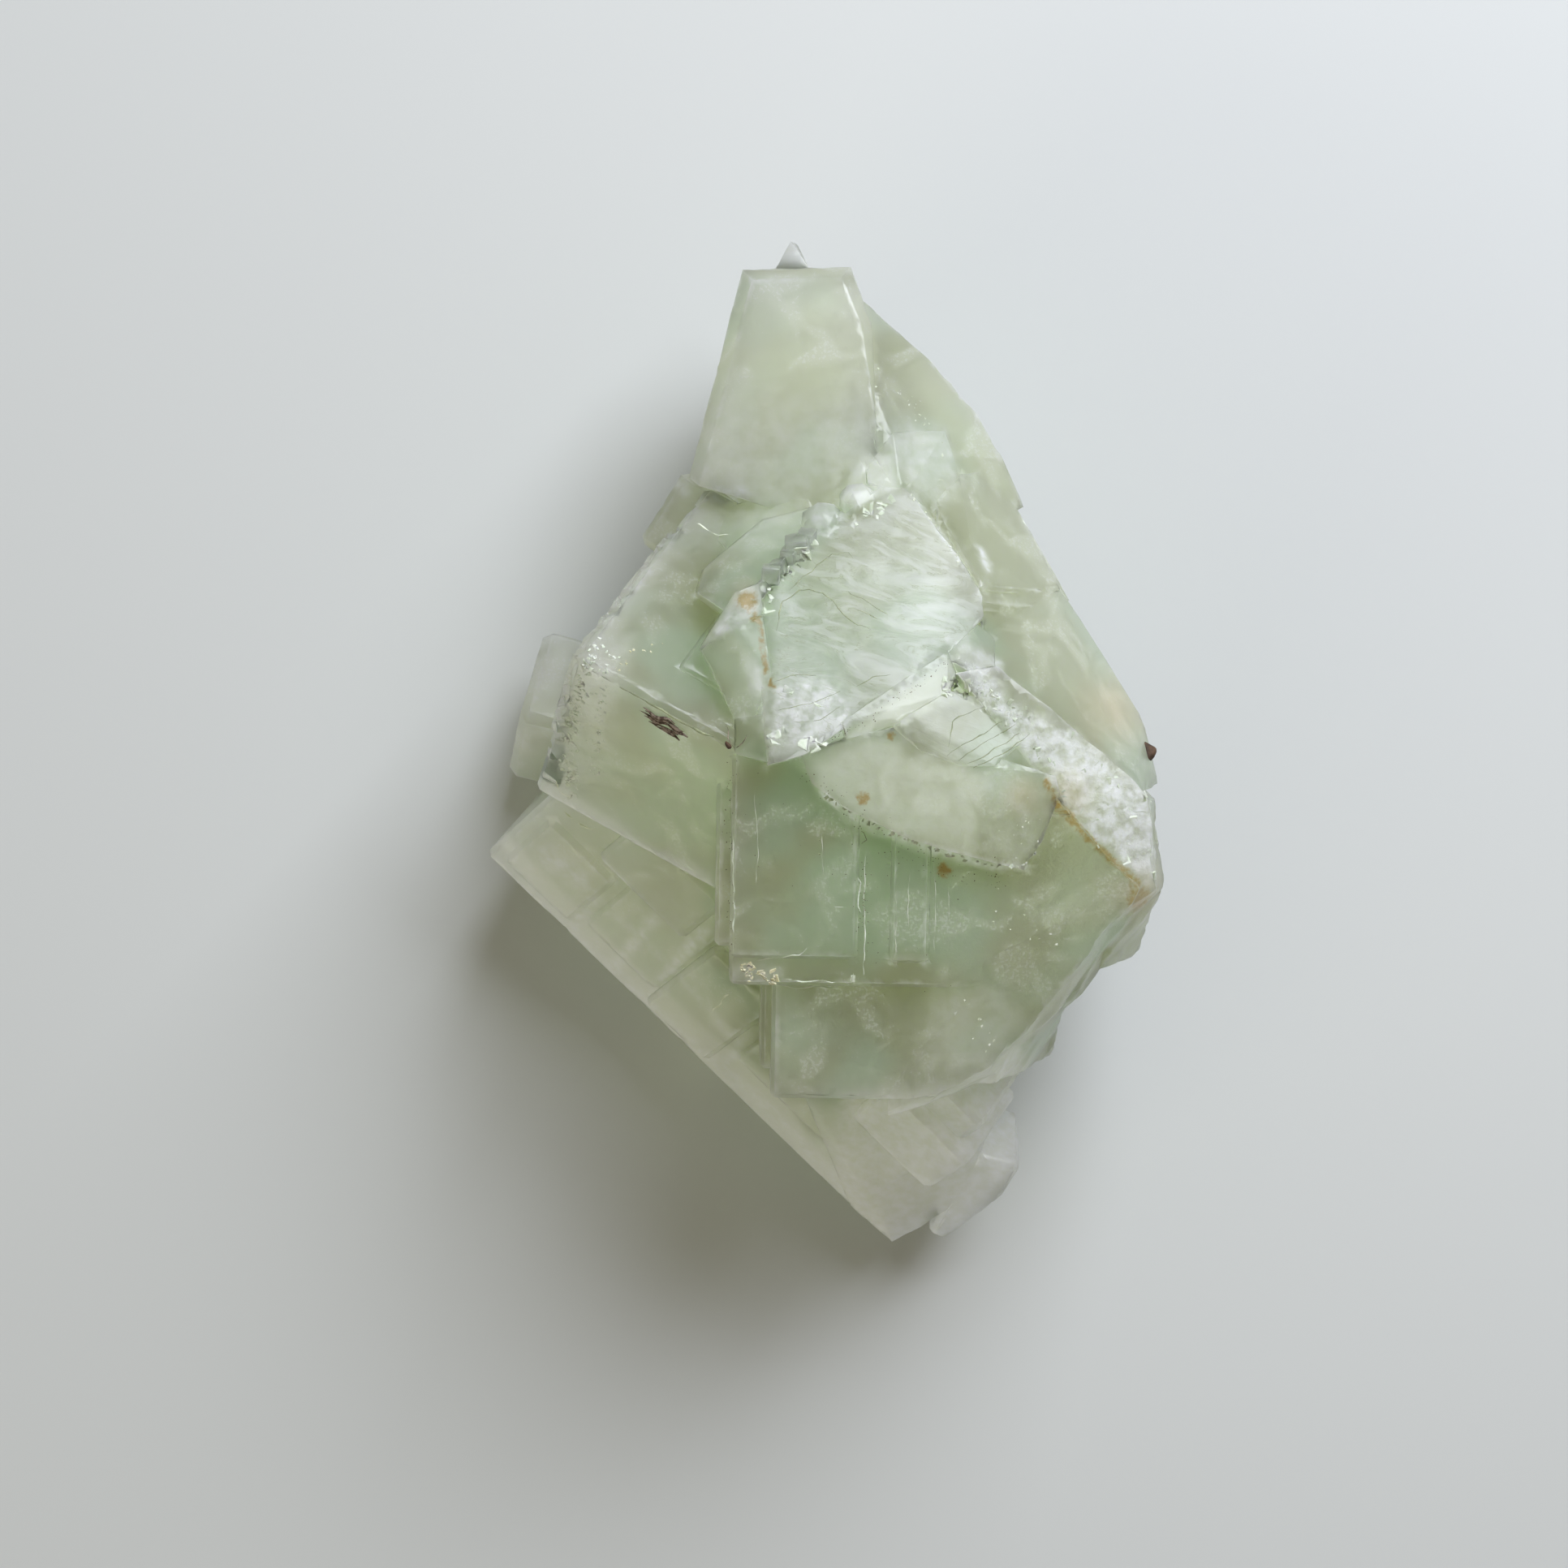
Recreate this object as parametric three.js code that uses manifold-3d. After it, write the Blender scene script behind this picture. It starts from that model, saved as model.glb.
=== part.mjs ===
// Fluorite cluster: pale green cubes grown through one another, broken across the crown.
//
// Units are millimetres, +Z is up, and the cluster stands on its broken base at z = 0.
// +Y runs from the low front cube to the tall back crystal, and +X towards the rough shoulder.
// The whole cluster grew as one piece, so every crystal is joined into one solid.
import * as THREE from "three";
import { ConvexGeometry } from "three/addons/geometries/ConvexGeometry.js";
import { mergeVertices } from "three/addons/utils/BufferGeometryUtils.js";
import Module from "manifold-3d";

const wasm = await Module();
wasm.setup();

// ---- Driving dimensions -------------------------------------------------------------------

const EDGE_BEVEL = 0.35; // the worn flat along a crystal's edges
const RIDGE_HEIGHT = 27.7; // the left end of the crown's ridge
const PLATEAU_HEIGHT = 28.6; // the front cube's top, at its inner corner
const CROWN_SLOPE = 28.7; // how steeply the clean break slopes back
const CUBE_DIP = 49; // the dip of the ridge cube's front face, which the lower slab repeats
const CHIP_SIZE = 0.5; // a small chip off an edge

// ---- Solids -------------------------------------------------------------------------------

// A closed three.js geometry as a manifold solid.
function solidOf(geometry) {
  const bare = geometry.clone();
  for (const name of Object.keys(bare.attributes)) {
    if (name !== "position") bare.deleteAttribute(name);
  }
  const merged = mergeVertices(bare, 1e-4);
  const mesh = new wasm.Mesh({
    numProp: 3,
    vertProperties: merged.attributes.position.array,
    triVerts: new Uint32Array(merged.index.array),
  });
  return new wasm.Manifold(mesh);
}

// The solid that joins them all.
function joined(solids) {
  return solids.reduce((whole, solid) => whole.add(solid));
}

// Seeded random numbers from 0 to 1, so that every run gives the same cluster.
function randomFrom(seed) {
  let state = seed;
  return () => {
    state = (state * 1664525 + 1013904223) % 4294967296;
    return state / 4294967296;
  };
}

// A crystal's own axes: the first points along heading (degrees from +X, towards +Y) and rises
// by rise degrees. The other two are turned about it by roll degrees, from level.
function crystalAxes({ heading, rise = 0, roll = 0 }) {
  const turn = new THREE.Matrix4().makeRotationZ(THREE.MathUtils.degToRad(heading));
  const lift = new THREE.Matrix4().makeRotationY(THREE.MathUtils.degToRad(-rise));
  const spin = new THREE.Matrix4().makeRotationX(THREE.MathUtils.degToRad(roll));
  return turn.multiply(lift).multiply(spin);
}

// Puts a geometry that was made round the crystal's corner where that corner is.
function placed(geometry, crystal) {
  const [x, y, z] = crystal.corner;
  return geometry.applyMatrix4(crystalAxes(crystal)).translate(x, y, z);
}

// The eight corners of the box from low to high, each cut to three points by the bevel.
function bevelledCorners(low, high, bevel) {
  const points = [];
  for (const ends of [0, 1, 2, 3, 4, 5, 6, 7]) {
    const isHigh = [ends & 1, ends & 2, ends & 4].map(Boolean);
    const corner = isHigh.map((far, i) => (far ? high[i] : low[i]));
    const inwards = isHigh.map((far) => (far ? -bevel : bevel));
    for (const kept of [0, 1, 2]) {
      const point = corner.map((value, i) => (i === kept ? value : value + inwards[i]));
      points.push(new THREE.Vector3(...point));
    }
  }
  return points;
}

// A block in a crystal's axes, from the corner low to the corner high, with bevelled edges.
function block(crystal, low, high, bevel = EDGE_BEVEL) {
  return solidOf(placed(new ConvexGeometry(bevelledCorners(low, high, bevel)), crystal));
}

// A small cube of its own, with its middle at a place.
function cube([x, y, z], edge, { heading, rise, roll }, bevel = edge * 0.08) {
  const half = edge / 2;
  const crystal = { corner: [x, y, z], heading, rise, roll };
  return block(crystal, [-half, -half, -half], [half, half, half], bevel);
}

// A broken lump: the hull of its top points and of a base outline at a lower level.
function lump(top, base) {
  const points = [...top, ...base].map((point) => new THREE.Vector3(...point));
  return solidOf(new ConvexGeometry(points));
}

// The outline moved out from its middle by spread millimetres, at the height z.
function footOf(outline, z, spread = 0) {
  const middle = [0, 1].map((i) => outline.reduce((sum, p) => sum + p[i], 0) / outline.length);
  return outline.map(([x, y]) => {
    const away = new THREE.Vector2(x - middle[0], y - middle[1]);
    away.setLength(Math.max(0.3, away.length() + spread));
    return [middle[0] + away.x, middle[1] + away.y, z];
  });
}

// ---- Broken faces -------------------------------------------------------------------------

// A smooth value from -1 to 1 that wanders over the plane.
function wander(u, v, seed) {
  const a = Math.sin(u + seed) * Math.cos(v * 1.3 - seed * 0.7);
  const b = Math.sin(u * 2.3 - v * 1.7 + seed * 1.9);
  const c = Math.sin(v * 3.1 + u * 0.9 + seed * 2.3) * Math.cos(u * 1.9 - seed);
  return (a + 0.55 * b + 0.35 * c) / 1.9;
}

// How far a broken face departs from its plane. It rolls over long waves, which cleavage cuts
// into steps. A bowl makes it hollow: { depth, radius } about the middle of the face. Lands are
// the flat parts of a face that was rubbed level, with pits between them.
function brokenRelief({ height, wave, step = 0, bowl, lands, seed }) {
  const [alongWave, acrossWave] = wave;
  return (u, v) => {
    const rolling = wander(u / alongWave, v / acrossWave, seed) * height;
    const stepped = step ? 0.8 * Math.round(rolling / step) * step + 0.2 * rolling : rolling;
    const hollow = bowl ? bowl.depth * ((u * u + v * v) / bowl.radius ** 2 - 1) : 0;
    const lifted = stepped + Math.min(hollow, 2.5);
    return lands ? Math.min(0, lifted + lands) : lifted;
  };
}

// A thick cutter whose under face is a broken face. It takes away what lies above the plane
// that passes through at and dips by dip degrees towards heading.
function brokenCut({ at, heading, dip, size, cell, relief, depth = 20 }) {
  const [along, across] = size;
  const columns = Math.round(along / cell[0]);
  const rows = Math.round(across / cell[1]);
  const geometry = new THREE.BoxGeometry(along, across, depth, columns, rows, 1);
  const bare = mergeVertices(geometry.deleteAttribute("normal").deleteAttribute("uv"));
  const position = bare.attributes.position;
  const shape = brokenRelief(relief);
  const random = randomFrom(relief.seed);
  for (let i = 0; i < position.count; i += 1) {
    const [u, v] = [position.getX(i), position.getY(i)];
    const shift = [random() - 0.5, random() - 0.5];
    if (position.getZ(i) > 0) continue;
    const inside = Math.abs(u) < along / 2 - 0.01 && Math.abs(v) < across / 2 - 0.01;
    const moved = inside ? [u + shift[0] * cell[0] * 0.7, v + shift[1] * cell[1] * 0.7] : [u, v];
    position.setXYZ(i, moved[0], moved[1], shape(moved[0], moved[1]) - depth / 2);
  }
  bare.translate(0, 0, depth / 2);
  return solidOf(placed(bare, { corner: at, heading, rise: -dip }));
}

// A steep broken side, with ledges where the cleavage steps.
function sideBreak({ seed, height = 0.45, ...face }) {
  const relief = { height, wave: [2.6, 1.9], step: height / 1.5, seed };
  return brokenCut({ ...face, size: [40, 26], cell: [1.8, 1.9], relief, depth: 12 });
}

// Small chips off the edge between two points: each is a turned cube, sunk by a random amount.
function chipsAlong(from, to, count, size, seed) {
  const random = randomFrom(seed);
  const start = new THREE.Vector3(...from);
  const end = new THREE.Vector3(...to);
  const chips = [];
  for (let i = 0; i < count; i += 1) {
    const middle = start.clone().lerp(end, (i + 0.2 + 0.6 * random()) / count);
    const edge = size * (0.6 + 0.9 * random());
    const turn = { heading: 360 * random(), rise: 90 * random(), roll: 90 * random() };
    chips.push(cube(middle.toArray(), edge, turn, edge * 0.1));
  }
  return joined(chips);
}

// ---- Crystals -----------------------------------------------------------------------------

// The front cube: a flat top that leans a little to the front.
const FRONT_CUBE = { corner: [-2.9, 2.6, PLATEAU_HEIGHT], heading: -91, rise: -6.5, roll: -1 };

// The ridge cube: its level edge is the crown's ridge, and two faces fall away from it.
const RIDGE_CUBE = {
  corner: [-11.9, 7.2, RIDGE_HEIGHT],
  heading: -29,
  rise: 6.5,
  roll: CUBE_DIP - 89.4,
};

function ridgeCube() {
  const whole = joined([
    block(RIDGE_CUBE, [0, 0, -12.5], [16, 17, 0]),
    block(RIDGE_CUBE, [-0.35, 0.5, -7.5], [2, 13, -0.5], 0.2), // a growth layer on its end
    block(RIDGE_CUBE, [5.2, 3, -4], [10, 9.5, 0.3], 0.2), // and one on its back face
  ]);
  const overPlateau = block(FRONT_CUBE, [-1.2, 0.2, -1], [22, 20, 12]);
  const end = chipsAlong([-12.1, 7.3, 27.4], [-13.6, 0.3, 18.6], 9, 0.9, 11);
  const backEdge = chipsAlong([-12.0, 7.4, 27.2], [-5.4, 16.6, 17.2], 8, 0.7, 12);
  return whole.subtract(overPlateau).subtract(end).subtract(backEdge);
}

// The front cube's steps of growth, from the plateau down.
function frontCube() {
  const steps = [
    { low: [-2, 0, -20], high: [14.2, 15, -0.4] }, // the plateau
    { low: [3.9, 13, -20], high: [14.2, 25, -0.4] }, // its right end
    { low: [0, 0, -3], high: [12.6, 7.3, 0] }, // its raised left panel
    { low: [0.6, -0.85, -17], high: [12.2, 1, -2.0] }, // the ledge under its left edge
    { low: [12.4, 2.5, -18], high: [20.9, 20, -1.2] }, // the lower step in front
    { low: [13.5, 1.9, -17], high: [19.6, 4, -3.2] }, // the ledge under that step
    { low: [-2, 9.1, -3], high: [12.8, 11.4, -0.15] }, // a low rib across the plateau
  ];
  return joined(steps.map(({ low, high }) => block(FRONT_CUBE, low, high, 0.22)));
}

// The lower slab: a long sloping face along the left of the front, with terraces on it.
const LOWER_SLAB = { corner: [-18.6, -4.4, 8], heading: -44.4, rise: -5.4, roll: CUBE_DIP };

function lowerSlab() {
  const steps = [
    { low: [0, 0, -15], high: [32.2, 15, 0] },
    { low: [1.0, 1.2, -1], high: [6.6, 7.5, 0.35] },
    { low: [7.2, 2.2, -1], high: [13.4, 12, 0.3] },
    { low: [13.4, 1.0, -1], high: [18.8, 10, 0.6] },
    { low: [4.6, 8.6, -1], high: [11.8, 14, 0.9] },
    { low: [19.6, 3.0, -1], high: [27.6, 8, 0.25] },
  ];
  const whole = joined(steps.map(({ low, high }) => block(LOWER_SLAB, low, high)));
  const edgeEnd = [3.9, -26.7, 5.1];
  return whole.subtract(chipsAlong(LOWER_SLAB.corner, edgeEnd, 16, CHIP_SIZE, 21));
}

// The back crystal: a tall blade with a flat top that narrows to a straight end.
function backCrystal() {
  const topHeight = (x, y) => 18 + 0.1 * (x + 2.5) + 0.08 * (30.4 - y);
  const top = [
    [-1.9, 29.9],
    [3.4, 30.0],
    [4.6, 27.0],
    [5.4, 21.4],
    [5.7, 17.0],
    [1.4, 15.6],
    [-5.0, 17.6],
  ].map(([x, y]) => [x, y, topHeight(x, y)]);
  const rim = [
    [-2.5, 30.7],
    [4.0, 30.8],
    [5.2, 27.4],
    [-5.7, 18.2],
  ].map(([x, y]) => [x, y, topHeight(x, y) - 1.1]);
  const spike = [
    [0.4, 32.9, 13.4],
    [0.8, 32.8, 12.6],
    [-0.6, 30.8, 15.6],
    [1.7, 30.6, 15.8],
  ];
  return joined([
    lump([...top, ...rim], footOf(rim, 3, -1.4)),
    lump(spike, footOf(spike, 9, -0.4)),
    cube([-4.9, 15.4, 12.4], 5.2, { heading: -34, rise: 8, roll: 6 }),
  ]);
}

// The back wings: faces that fall from the crown to the right of the back crystal.
const UPPER_WING = { corner: [6.6, 17.7, 21.0], heading: -60, rise: 24, roll: -56 };

function backWings() {
  const shelf = [
    [4.3, 29.3, 16.4],
    [6.4, 27.2, 16.2],
    [9.0, 25.2, 15.6],
    [11.6, 22.2, 15.4],
    [13.1, 19.6, 15.4],
    [14.4, 16.6, 15.6],
    [10.3, 14.6, 19.4],
    [7.3, 17.0, 20.5],
    [5.4, 19.6, 19.7],
    [4.5, 25.8, 18.2],
  ];
  const patch = [
    [5.3, 19.2, 20.4],
    [6.4, 20.7, 19.9],
    [9.6, 21.0, 18.3],
    [10.4, 18.1, 18.9],
    [8.8, 16.0, 20.4],
    [6.9, 16.6, 21.4],
  ];
  const core = [
    [6.0, 16.0, 19.5],
    [14.6, 15.0, 14.8],
    [17.8, 9.2, 15.6],
    [20.0, 4.4, 17.0],
    [20.6, 0.4, 20.6],
    [12.0, 5.0, 24.0],
  ];
  const crownFlank = [
    [8.9, 15.2, 21.4],
    [10.2, 13.0, 22.2],
    [11.3, 10.6, 23.2],
    [11.7, 8.4, 24.4],
    [17.0, 10.9, 17.6],
    [15.3, 13.3, 17.2],
    [13.6, 16.8, 15.8],
    [12.7, 18.8, 15.4],
    [10.4, 18.4, 18.5],
    [8.9, 16.6, 20.5],
  ];
  const shoulderFlank = [
    [11.3, 8.9, 24.2],
    [12.2, 6.0, 27.2],
    [14.4, 4.2, 27.4],
    [18.1, 0.9, 26.4],
    [20.0, -0.9, 25.8],
    [22.0, 0.0, 20.2],
    [21.2, 3.8, 19.0],
    [18.3, 8.7, 18.0],
    [16.4, 11.6, 17.7],
  ];
  const outerFaces = [
    { at: [10.0, 25.2, 12], heading: 46, dip: 82, seed: 61, height: 0.25 },
    { at: [16.9, 12.9, 15], heading: 28.7, dip: 84, seed: 62, height: 0.2 },
  ];
  const whole = joined([
    lump(shelf, footOf(shelf, 5, -1.6)),
    lump(patch, footOf(patch, 8, 0)),
    lump(core, footOf(core, 6, -1.2)),
    lump(crownFlank, footOf(crownFlank, 9, -1.0)),
    lump(shoulderFlank, footOf(shoulderFlank, 9, -1.0)),
    block(UPPER_WING, [0, 0, -7], [9.4, 9.4, 0]),
    block(UPPER_WING, [2.4, 1.6, -1], [8.2, 7.2, 0.3], 0.2),
  ]);
  return whole.subtract(joined(outerFaces.map(sideBreak)));
}

// The crown: one clean break that slopes back from the highest point of the cluster.
const CROWN_BREAK = {
  at: [4.6, 9.6, 26.2],
  heading: 90,
  dip: CROWN_SLOPE,
  size: [26, 24],
  cell: [1.1, 0.75],
  relief: { height: 0.24, wave: [5.2, 2.2], seed: 4 },
};

function crown() {
  const outline = [
    [-1.5, 9.6],
    [-1.5, 11.3],
    [1.2, 13.8],
    [5.7, 17.2],
    [7.0, 17.2],
    [10.1, 12.9],
    [11.3, 10.8],
    [11.3, 9.5],
    [9.3, 7.5],
    [3.4, 3.4],
    [1.3, 1.7],
    [-0.9, 1.1],
    [-0.4, 3.9],
  ];
  const top = outline.map(([x, y]) => [x, y, 34 - 0.548 * y]);
  return lump(top, footOf(outline, 12, 0.6)).subtract(brokenCut(CROWN_BREAK));
}

// The facets between the crown's break and the ridge, and the step behind them.
function crownFacets() {
  const chippedRim = [
    [-4.8, 7.7, 27.2],
    [-3.4, 9.9, 26.9],
    [-2.8, 10.9, 26.7],
    [-1.4, 11.5, 26.4],
    [-1.2, 9.6, 27.5],
    [-3.0, 9.3, 27.6],
  ];
  const darkFacet = [
    [-4.7, 7.6, 27.1],
    [-3.0, 9.3, 27.4],
    [-1.2, 9.5, 27.3],
    [-0.7, 6.2, 28.3],
    [-1.6, 3.9, 28.8],
    [-2.8, 3.7, 28.5],
  ];
  const cornerFacet = [
    [-2.8, 3.8, 28.4],
    [-1.7, 3.9, 28.7],
    [-0.2, 3.9, 29.5],
    [0.4, 2.2, 30.0],
    [-0.8, 1.2, 29.7],
    [-2.8, 1.7, 28.8],
  ];
  const backStep = [
    [-4.6, 12.5, 23.2],
    [-1.3, 15.4, 21.3],
    [1.6, 16.2, 20.8],
    [1.4, 13.8, 23.3],
    [-0.1, 12.5, 24.7],
    [-1.2, 11.1, 25.9],
    [-3.4, 9.9, 26.1],
    [-5.0, 11.0, 24.7],
  ];
  const backSlope = [
    [-1.3, 15.2, 20.6],
    [1.4, 16.1, 20.2],
    [1.4, 17.4, 18.9],
    [-1.6, 17.0, 17.9],
    [-3.6, 16.4, 17.4],
    [-4.4, 15.0, 18.2],
    [-3.4, 13.8, 20.6],
  ];
  const topFacet = [
    [4.9, 17.6, 21.0],
    [6.6, 17.2, 21.3],
    [6.6, 18.9, 20.2],
    [5.4, 19.2, 19.8],
    [4.8, 18.6, 19.6],
  ];
  return joined([
    ...[chippedRim, darkFacet, cornerFacet, backStep].map((top) => lump(top, footOf(top, 14, 1.0))),
    ...[backSlope, topFacet].map((top) => lump(top, footOf(top, 8, 0.8))),
  ]);
}

// The small cubes along the back edge of the crown's break, and two rounded lumps after them.
function crownCubes() {
  const random = randomFrom(31);
  const start = new THREE.Vector3(-1.3, 11.0, 25.9);
  const end = new THREE.Vector3(1.3, 13.7, 24.2);
  const cubes = [0.0, 0.22, 0.38, 0.62, 0.8, 1.0].map((part) => {
    const middle = start.clone().lerp(end, part);
    middle.y += 0.5 * random();
    const turn = { heading: -40 + 50 * random(), rise: 25 * random(), roll: 60 * random() };
    return cube(middle.toArray(), 0.8 + 0.9 * random(), turn);
  });
  const lumps = [
    cube([2.3, 15.0, 22.3], 2.5, { heading: 34, rise: 18, roll: 30 }, 0.7),
    cube([4.3, 16.5, 21.5], 2.0, { heading: 12, rise: -14, roll: 40 }, 0.55),
    cube([3.4, 15.1, 22.8], 1.1, { heading: 60, rise: 30, roll: 10 }, 0.2),
  ];
  return joined([...cubes, ...lumps]);
}

// The broken slab that lies on the front cube: a smooth front, a rim, and a cleaved back.
function brokenSlab() {
  const riser = [
    [3.2, 3.5, 29.9],
    [9.3, 7.6, 27.3],
    [9.8, 6.2, 27.6],
    [9.4, 5.2, 28.4],
    [7.2, 3.6, 29.1],
    [3.5, 2.5, 29.6],
  ];
  const front = [
    [0.9, 1.7, 29.5],
    [3.5, 2.7, 29.5],
    [6.3, 3.2, 29.4],
    [9.9, 1.1, 29.3],
    [15.4, 0.5, 28.6],
    [15.7, -0.5, 28.4],
    [14.6, -3.3, 28.3],
    [13.6, -4.9, 28.2],
    [12.2, -4.6, 28.5],
    [8.8, -3.7, 28.8],
    [6.9, -3.1, 28.9],
    [3.4, -1.4, 29.1],
    [1.6, 0.0, 29.3],
  ];
  const cleaved = [
    [6.1, 3.2, 29.5],
    [7.0, 3.9, 29.3],
    [9.4, 5.3, 28.5],
    [10.3, 4.4, 28.4],
    [12.2, 4.5, 28.1],
    [13.4, 2.3, 28.6],
    [11.9, 1.0, 29.3],
    [9.9, 1.0, 29.5],
    [7.6, 1.9, 29.5],
  ];
  const backCorner = [
    [9.2, 8.6, 26.2],
    [9.2, 7.2, 27.2],
    [10.9, 6.1, 28.3],
    [12.0, 6.6, 27.2],
    [12.1, 8.4, 24.7],
    [10.3, 9.9, 24.9],
  ];
  const seam = [
    [12.4, 2.4, 28.3],
    [13.6, 2.2, 28.3],
    [14.8, 0.9, 27.9],
    [14.4, 0.1, 27.7],
    [13.0, 0.4, 28.2],
    [12.2, 1.4, 28.5],
  ];
  return joined([
    lump(riser, footOf(riser, 20, 0.5)),
    lump(front, footOf(front, 24, -0.8)),
    lump(cleaved, footOf(cleaved, 24, 0.2)),
    lump(backCorner, footOf(backCorner, 10, 1.2)),
    lump(seam, footOf(seam, 18, 0.8)),
  ]);
}

// The rough shoulder: the broken right end of the plateau.
const SHOULDER_BREAK = {
  at: [16.6, 1.0, 27.9],
  heading: -20,
  dip: 9,
  size: [18, 22],
  cell: [0.85, 0.85],
  relief: { height: 0.42, wave: [1.2, 1.6], step: 0.18, seed: 7 },
};

const FRONT_BREAK = {
  at: [13.6, -13.3, 25.4],
  heading: -65,
  dip: 25.5,
  size: [26, 30],
  cell: [1.3, 1.5],
  relief: { height: 0.16, wave: [4.2, 2.6], bowl: { depth: 0.9, radius: 9 }, seed: 9 },
};

function shoulder() {
  const body = [
    [7.0, 2.0, 27.2],
    [12.0, 5.0, 26.8],
    [15.2, 3.0, 26.6],
    [19.4, 0.6, 25.6],
    [22.4, -2.2, 24.6],
    [22.4, -7.2, 24.8],
    [20.5, -9.6, 24.4],
    [13.8, -17.2, 23.4],
    [6.0, -19.4, 23.2],
    [6.0, -8.0, 26.2],
  ];
  const crust = [
    [9.7, 6.3, 29.5],
    [12.0, 6.7, 29.5],
    [15.2, 4.2, 29.5],
    [18.9, 1.2, 29.2],
    [21.2, -1.0, 28.4],
    [22.2, -4.6, 28.4],
    [21.6, -7.2, 28.4],
    [18.7, -4.6, 29.2],
    [15.9, -1.4, 29.7],
    [14.2, 1.2, 29.9],
    [12.3, 4.2, 29.7],
  ];
  return joined([
    lump(body, footOf(body, 7, -2.0)),
    lump(crust, footOf(crust, 12, -0.6)).subtract(brokenCut(SHOULDER_BREAK)),
  ]);
}

// The front of the crown, with the steep broken sides that end it on the right.
function brokenFront() {
  const faces = [
    { at: [21.4, -3.6, 24.0], heading: 4, dip: 80, seed: 51 },
    { at: [17.0, -11.6, 22.0], heading: -42, dip: 76, seed: 52 },
    { at: [9.6, -18.4, 20.6], heading: -68, dip: 74, seed: 53 },
  ];
  const whole = joined([frontCube(), brokenSlab(), shoulder()]);
  return whole.subtract(brokenCut(FRONT_BREAK)).subtract(joined(faces.map(sideBreak)));
}

// The lowest crystal at the front, half hidden under the lower slab's end.
function frontFoot() {
  const top = [
    [0.6, -17.4, 14.6],
    [4.2, -26.6, 5.2],
    [6.8, -28.9, 4.2],
    [9.2, -27.4, 5.6],
    [11.4, -25.6, 7.2],
    [12.2, -22.6, 9.0],
    [13.4, -17.2, 13.0],
    [10.0, -15.0, 16.4],
  ];
  const side = { corner: [8.6, -28.0, 4.8], heading: 62, rise: 34, roll: 14 };
  return joined([
    lump(top, footOf(top, 1.2, -2.2)),
    block(side, [0, -3.4, -5], [7.6, -0.4, 0.4]),
    block(LOWER_SLAB, [26.6, 7.6, -6], [33.4, 12.6, 0.9]),
  ]);
}

// A turn close to a host crystal's, which is how cubes grow on one another.
function turnNear({ heading, rise, roll }, [by, lift, spin]) {
  return { heading: heading + by, rise: rise + lift, roll: roll + spin };
}

// Small cubes grown out of the sides, low down, each turned nearly as its neighbours are.
function sideCubes() {
  const leftLike = (turn) => turnNear(RIDGE_CUBE, turn);
  const frontLike = (turn) => turnNear(FRONT_CUBE, turn);
  return joined([
    cube([-12.8, 4.2, 4.2], 7.2, leftLike([14, -8, 6])),
    cube([-8.7, 6.8, 7.6], 6.4, leftLike([-22, 10, 18])),
    cube([-5.6, 9.4, 8.0], 7.0, frontLike([28, 9, 12])),
    cube([-1.8, 19.6, 7.4], 5.8, leftLike([8, 4, 28])),
    cube([7.4, 19.0, 8.4], 7.0, frontLike([-34, 12, -9])),
    cube([12.2, 8.6, 8.8], 7.6, leftLike([22, -10, -12])),
    cube([13.8, -1.8, 11.8], 8.8, frontLike([18, 12, -10])),
    cube([11.8, -8.8, 10.0], 8.6, leftLike([-6, 18, 6])),
    cube([1.0, 24.2, 7.4], 6.8, frontLike([10, 14, 8])),
    cube([-3.0, -13.2, 3.8], 7.0, frontLike([38, -12, 14])),
  ]);
}

// ---- The base -----------------------------------------------------------------------------

// The broken rock-side of the cluster, which gathers the crystals together under them.
function rootMass() {
  const girdle = [
    [-11.5, -1.5, 12],
    [-9.0, 10.5, 13],
    [-3.5, 22.0, 11],
    [5.0, 25.0, 10],
    [12.0, 16.5, 11],
    [17.5, 4.0, 13],
    [17.6, -6.0, 13],
    [12.5, -15.0, 11],
    [7.5, -25.0, 7],
    [1.0, -18.5, 9],
  ];
  const waist = [
    [-4, -10],
    [-3, 17],
    [5, 21.5],
    [11, 17.5],
    [15, 8],
    [16, -4],
    [12, -10],
  ];
  return joined([
    lump(footOf(girdle, 16, -9), [...girdle, ...footOf(girdle, -3, -3.4)]),
    lump(footOf(waist, 21.5, -4.2), footOf(waist, 11)),
  ]);
}

// Breaks that undercut the cluster on its sides, and the break that it stands on.
function undercuts() {
  const sides = [
    { at: [-9.4, 2.4, 0], heading: 165, dip: 140, seed: 41 },
    { at: [-4.6, 17.4, 0], heading: 118, dip: 134, seed: 42 },
    { at: [9.4, 14.4, 0], heading: 42, dip: 132, seed: 43 },
    { at: [14.2, -2.4, 0], heading: -8, dip: 124, seed: 44 },
    { at: [12.2, -19.4, 0], heading: -52, dip: 134, seed: 45 },
    { at: [-5.4, -12.6, 0], heading: -136, dip: 142, seed: 46 },
  ];
  return joined(sides.map(({ seed, ...face }) => {
    const relief = { height: 1.0, wave: [3.4, 4.2], step: 0.7, seed };
    return brokenCut({ ...face, size: [32, 44], cell: [2.9, 3.1], relief, depth: 16 });
  }));
}

function baseBreak() {
  const relief = { height: 1.7, wave: [4.4, 3.4], lands: 0.35, seed: 5 };
  const under = { at: [0, 0, 0], heading: 0, dip: 180 };
  return brokenCut({ ...under, size: [80, 80], cell: [2.4, 2.1], relief, depth: 12 });
}

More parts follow.
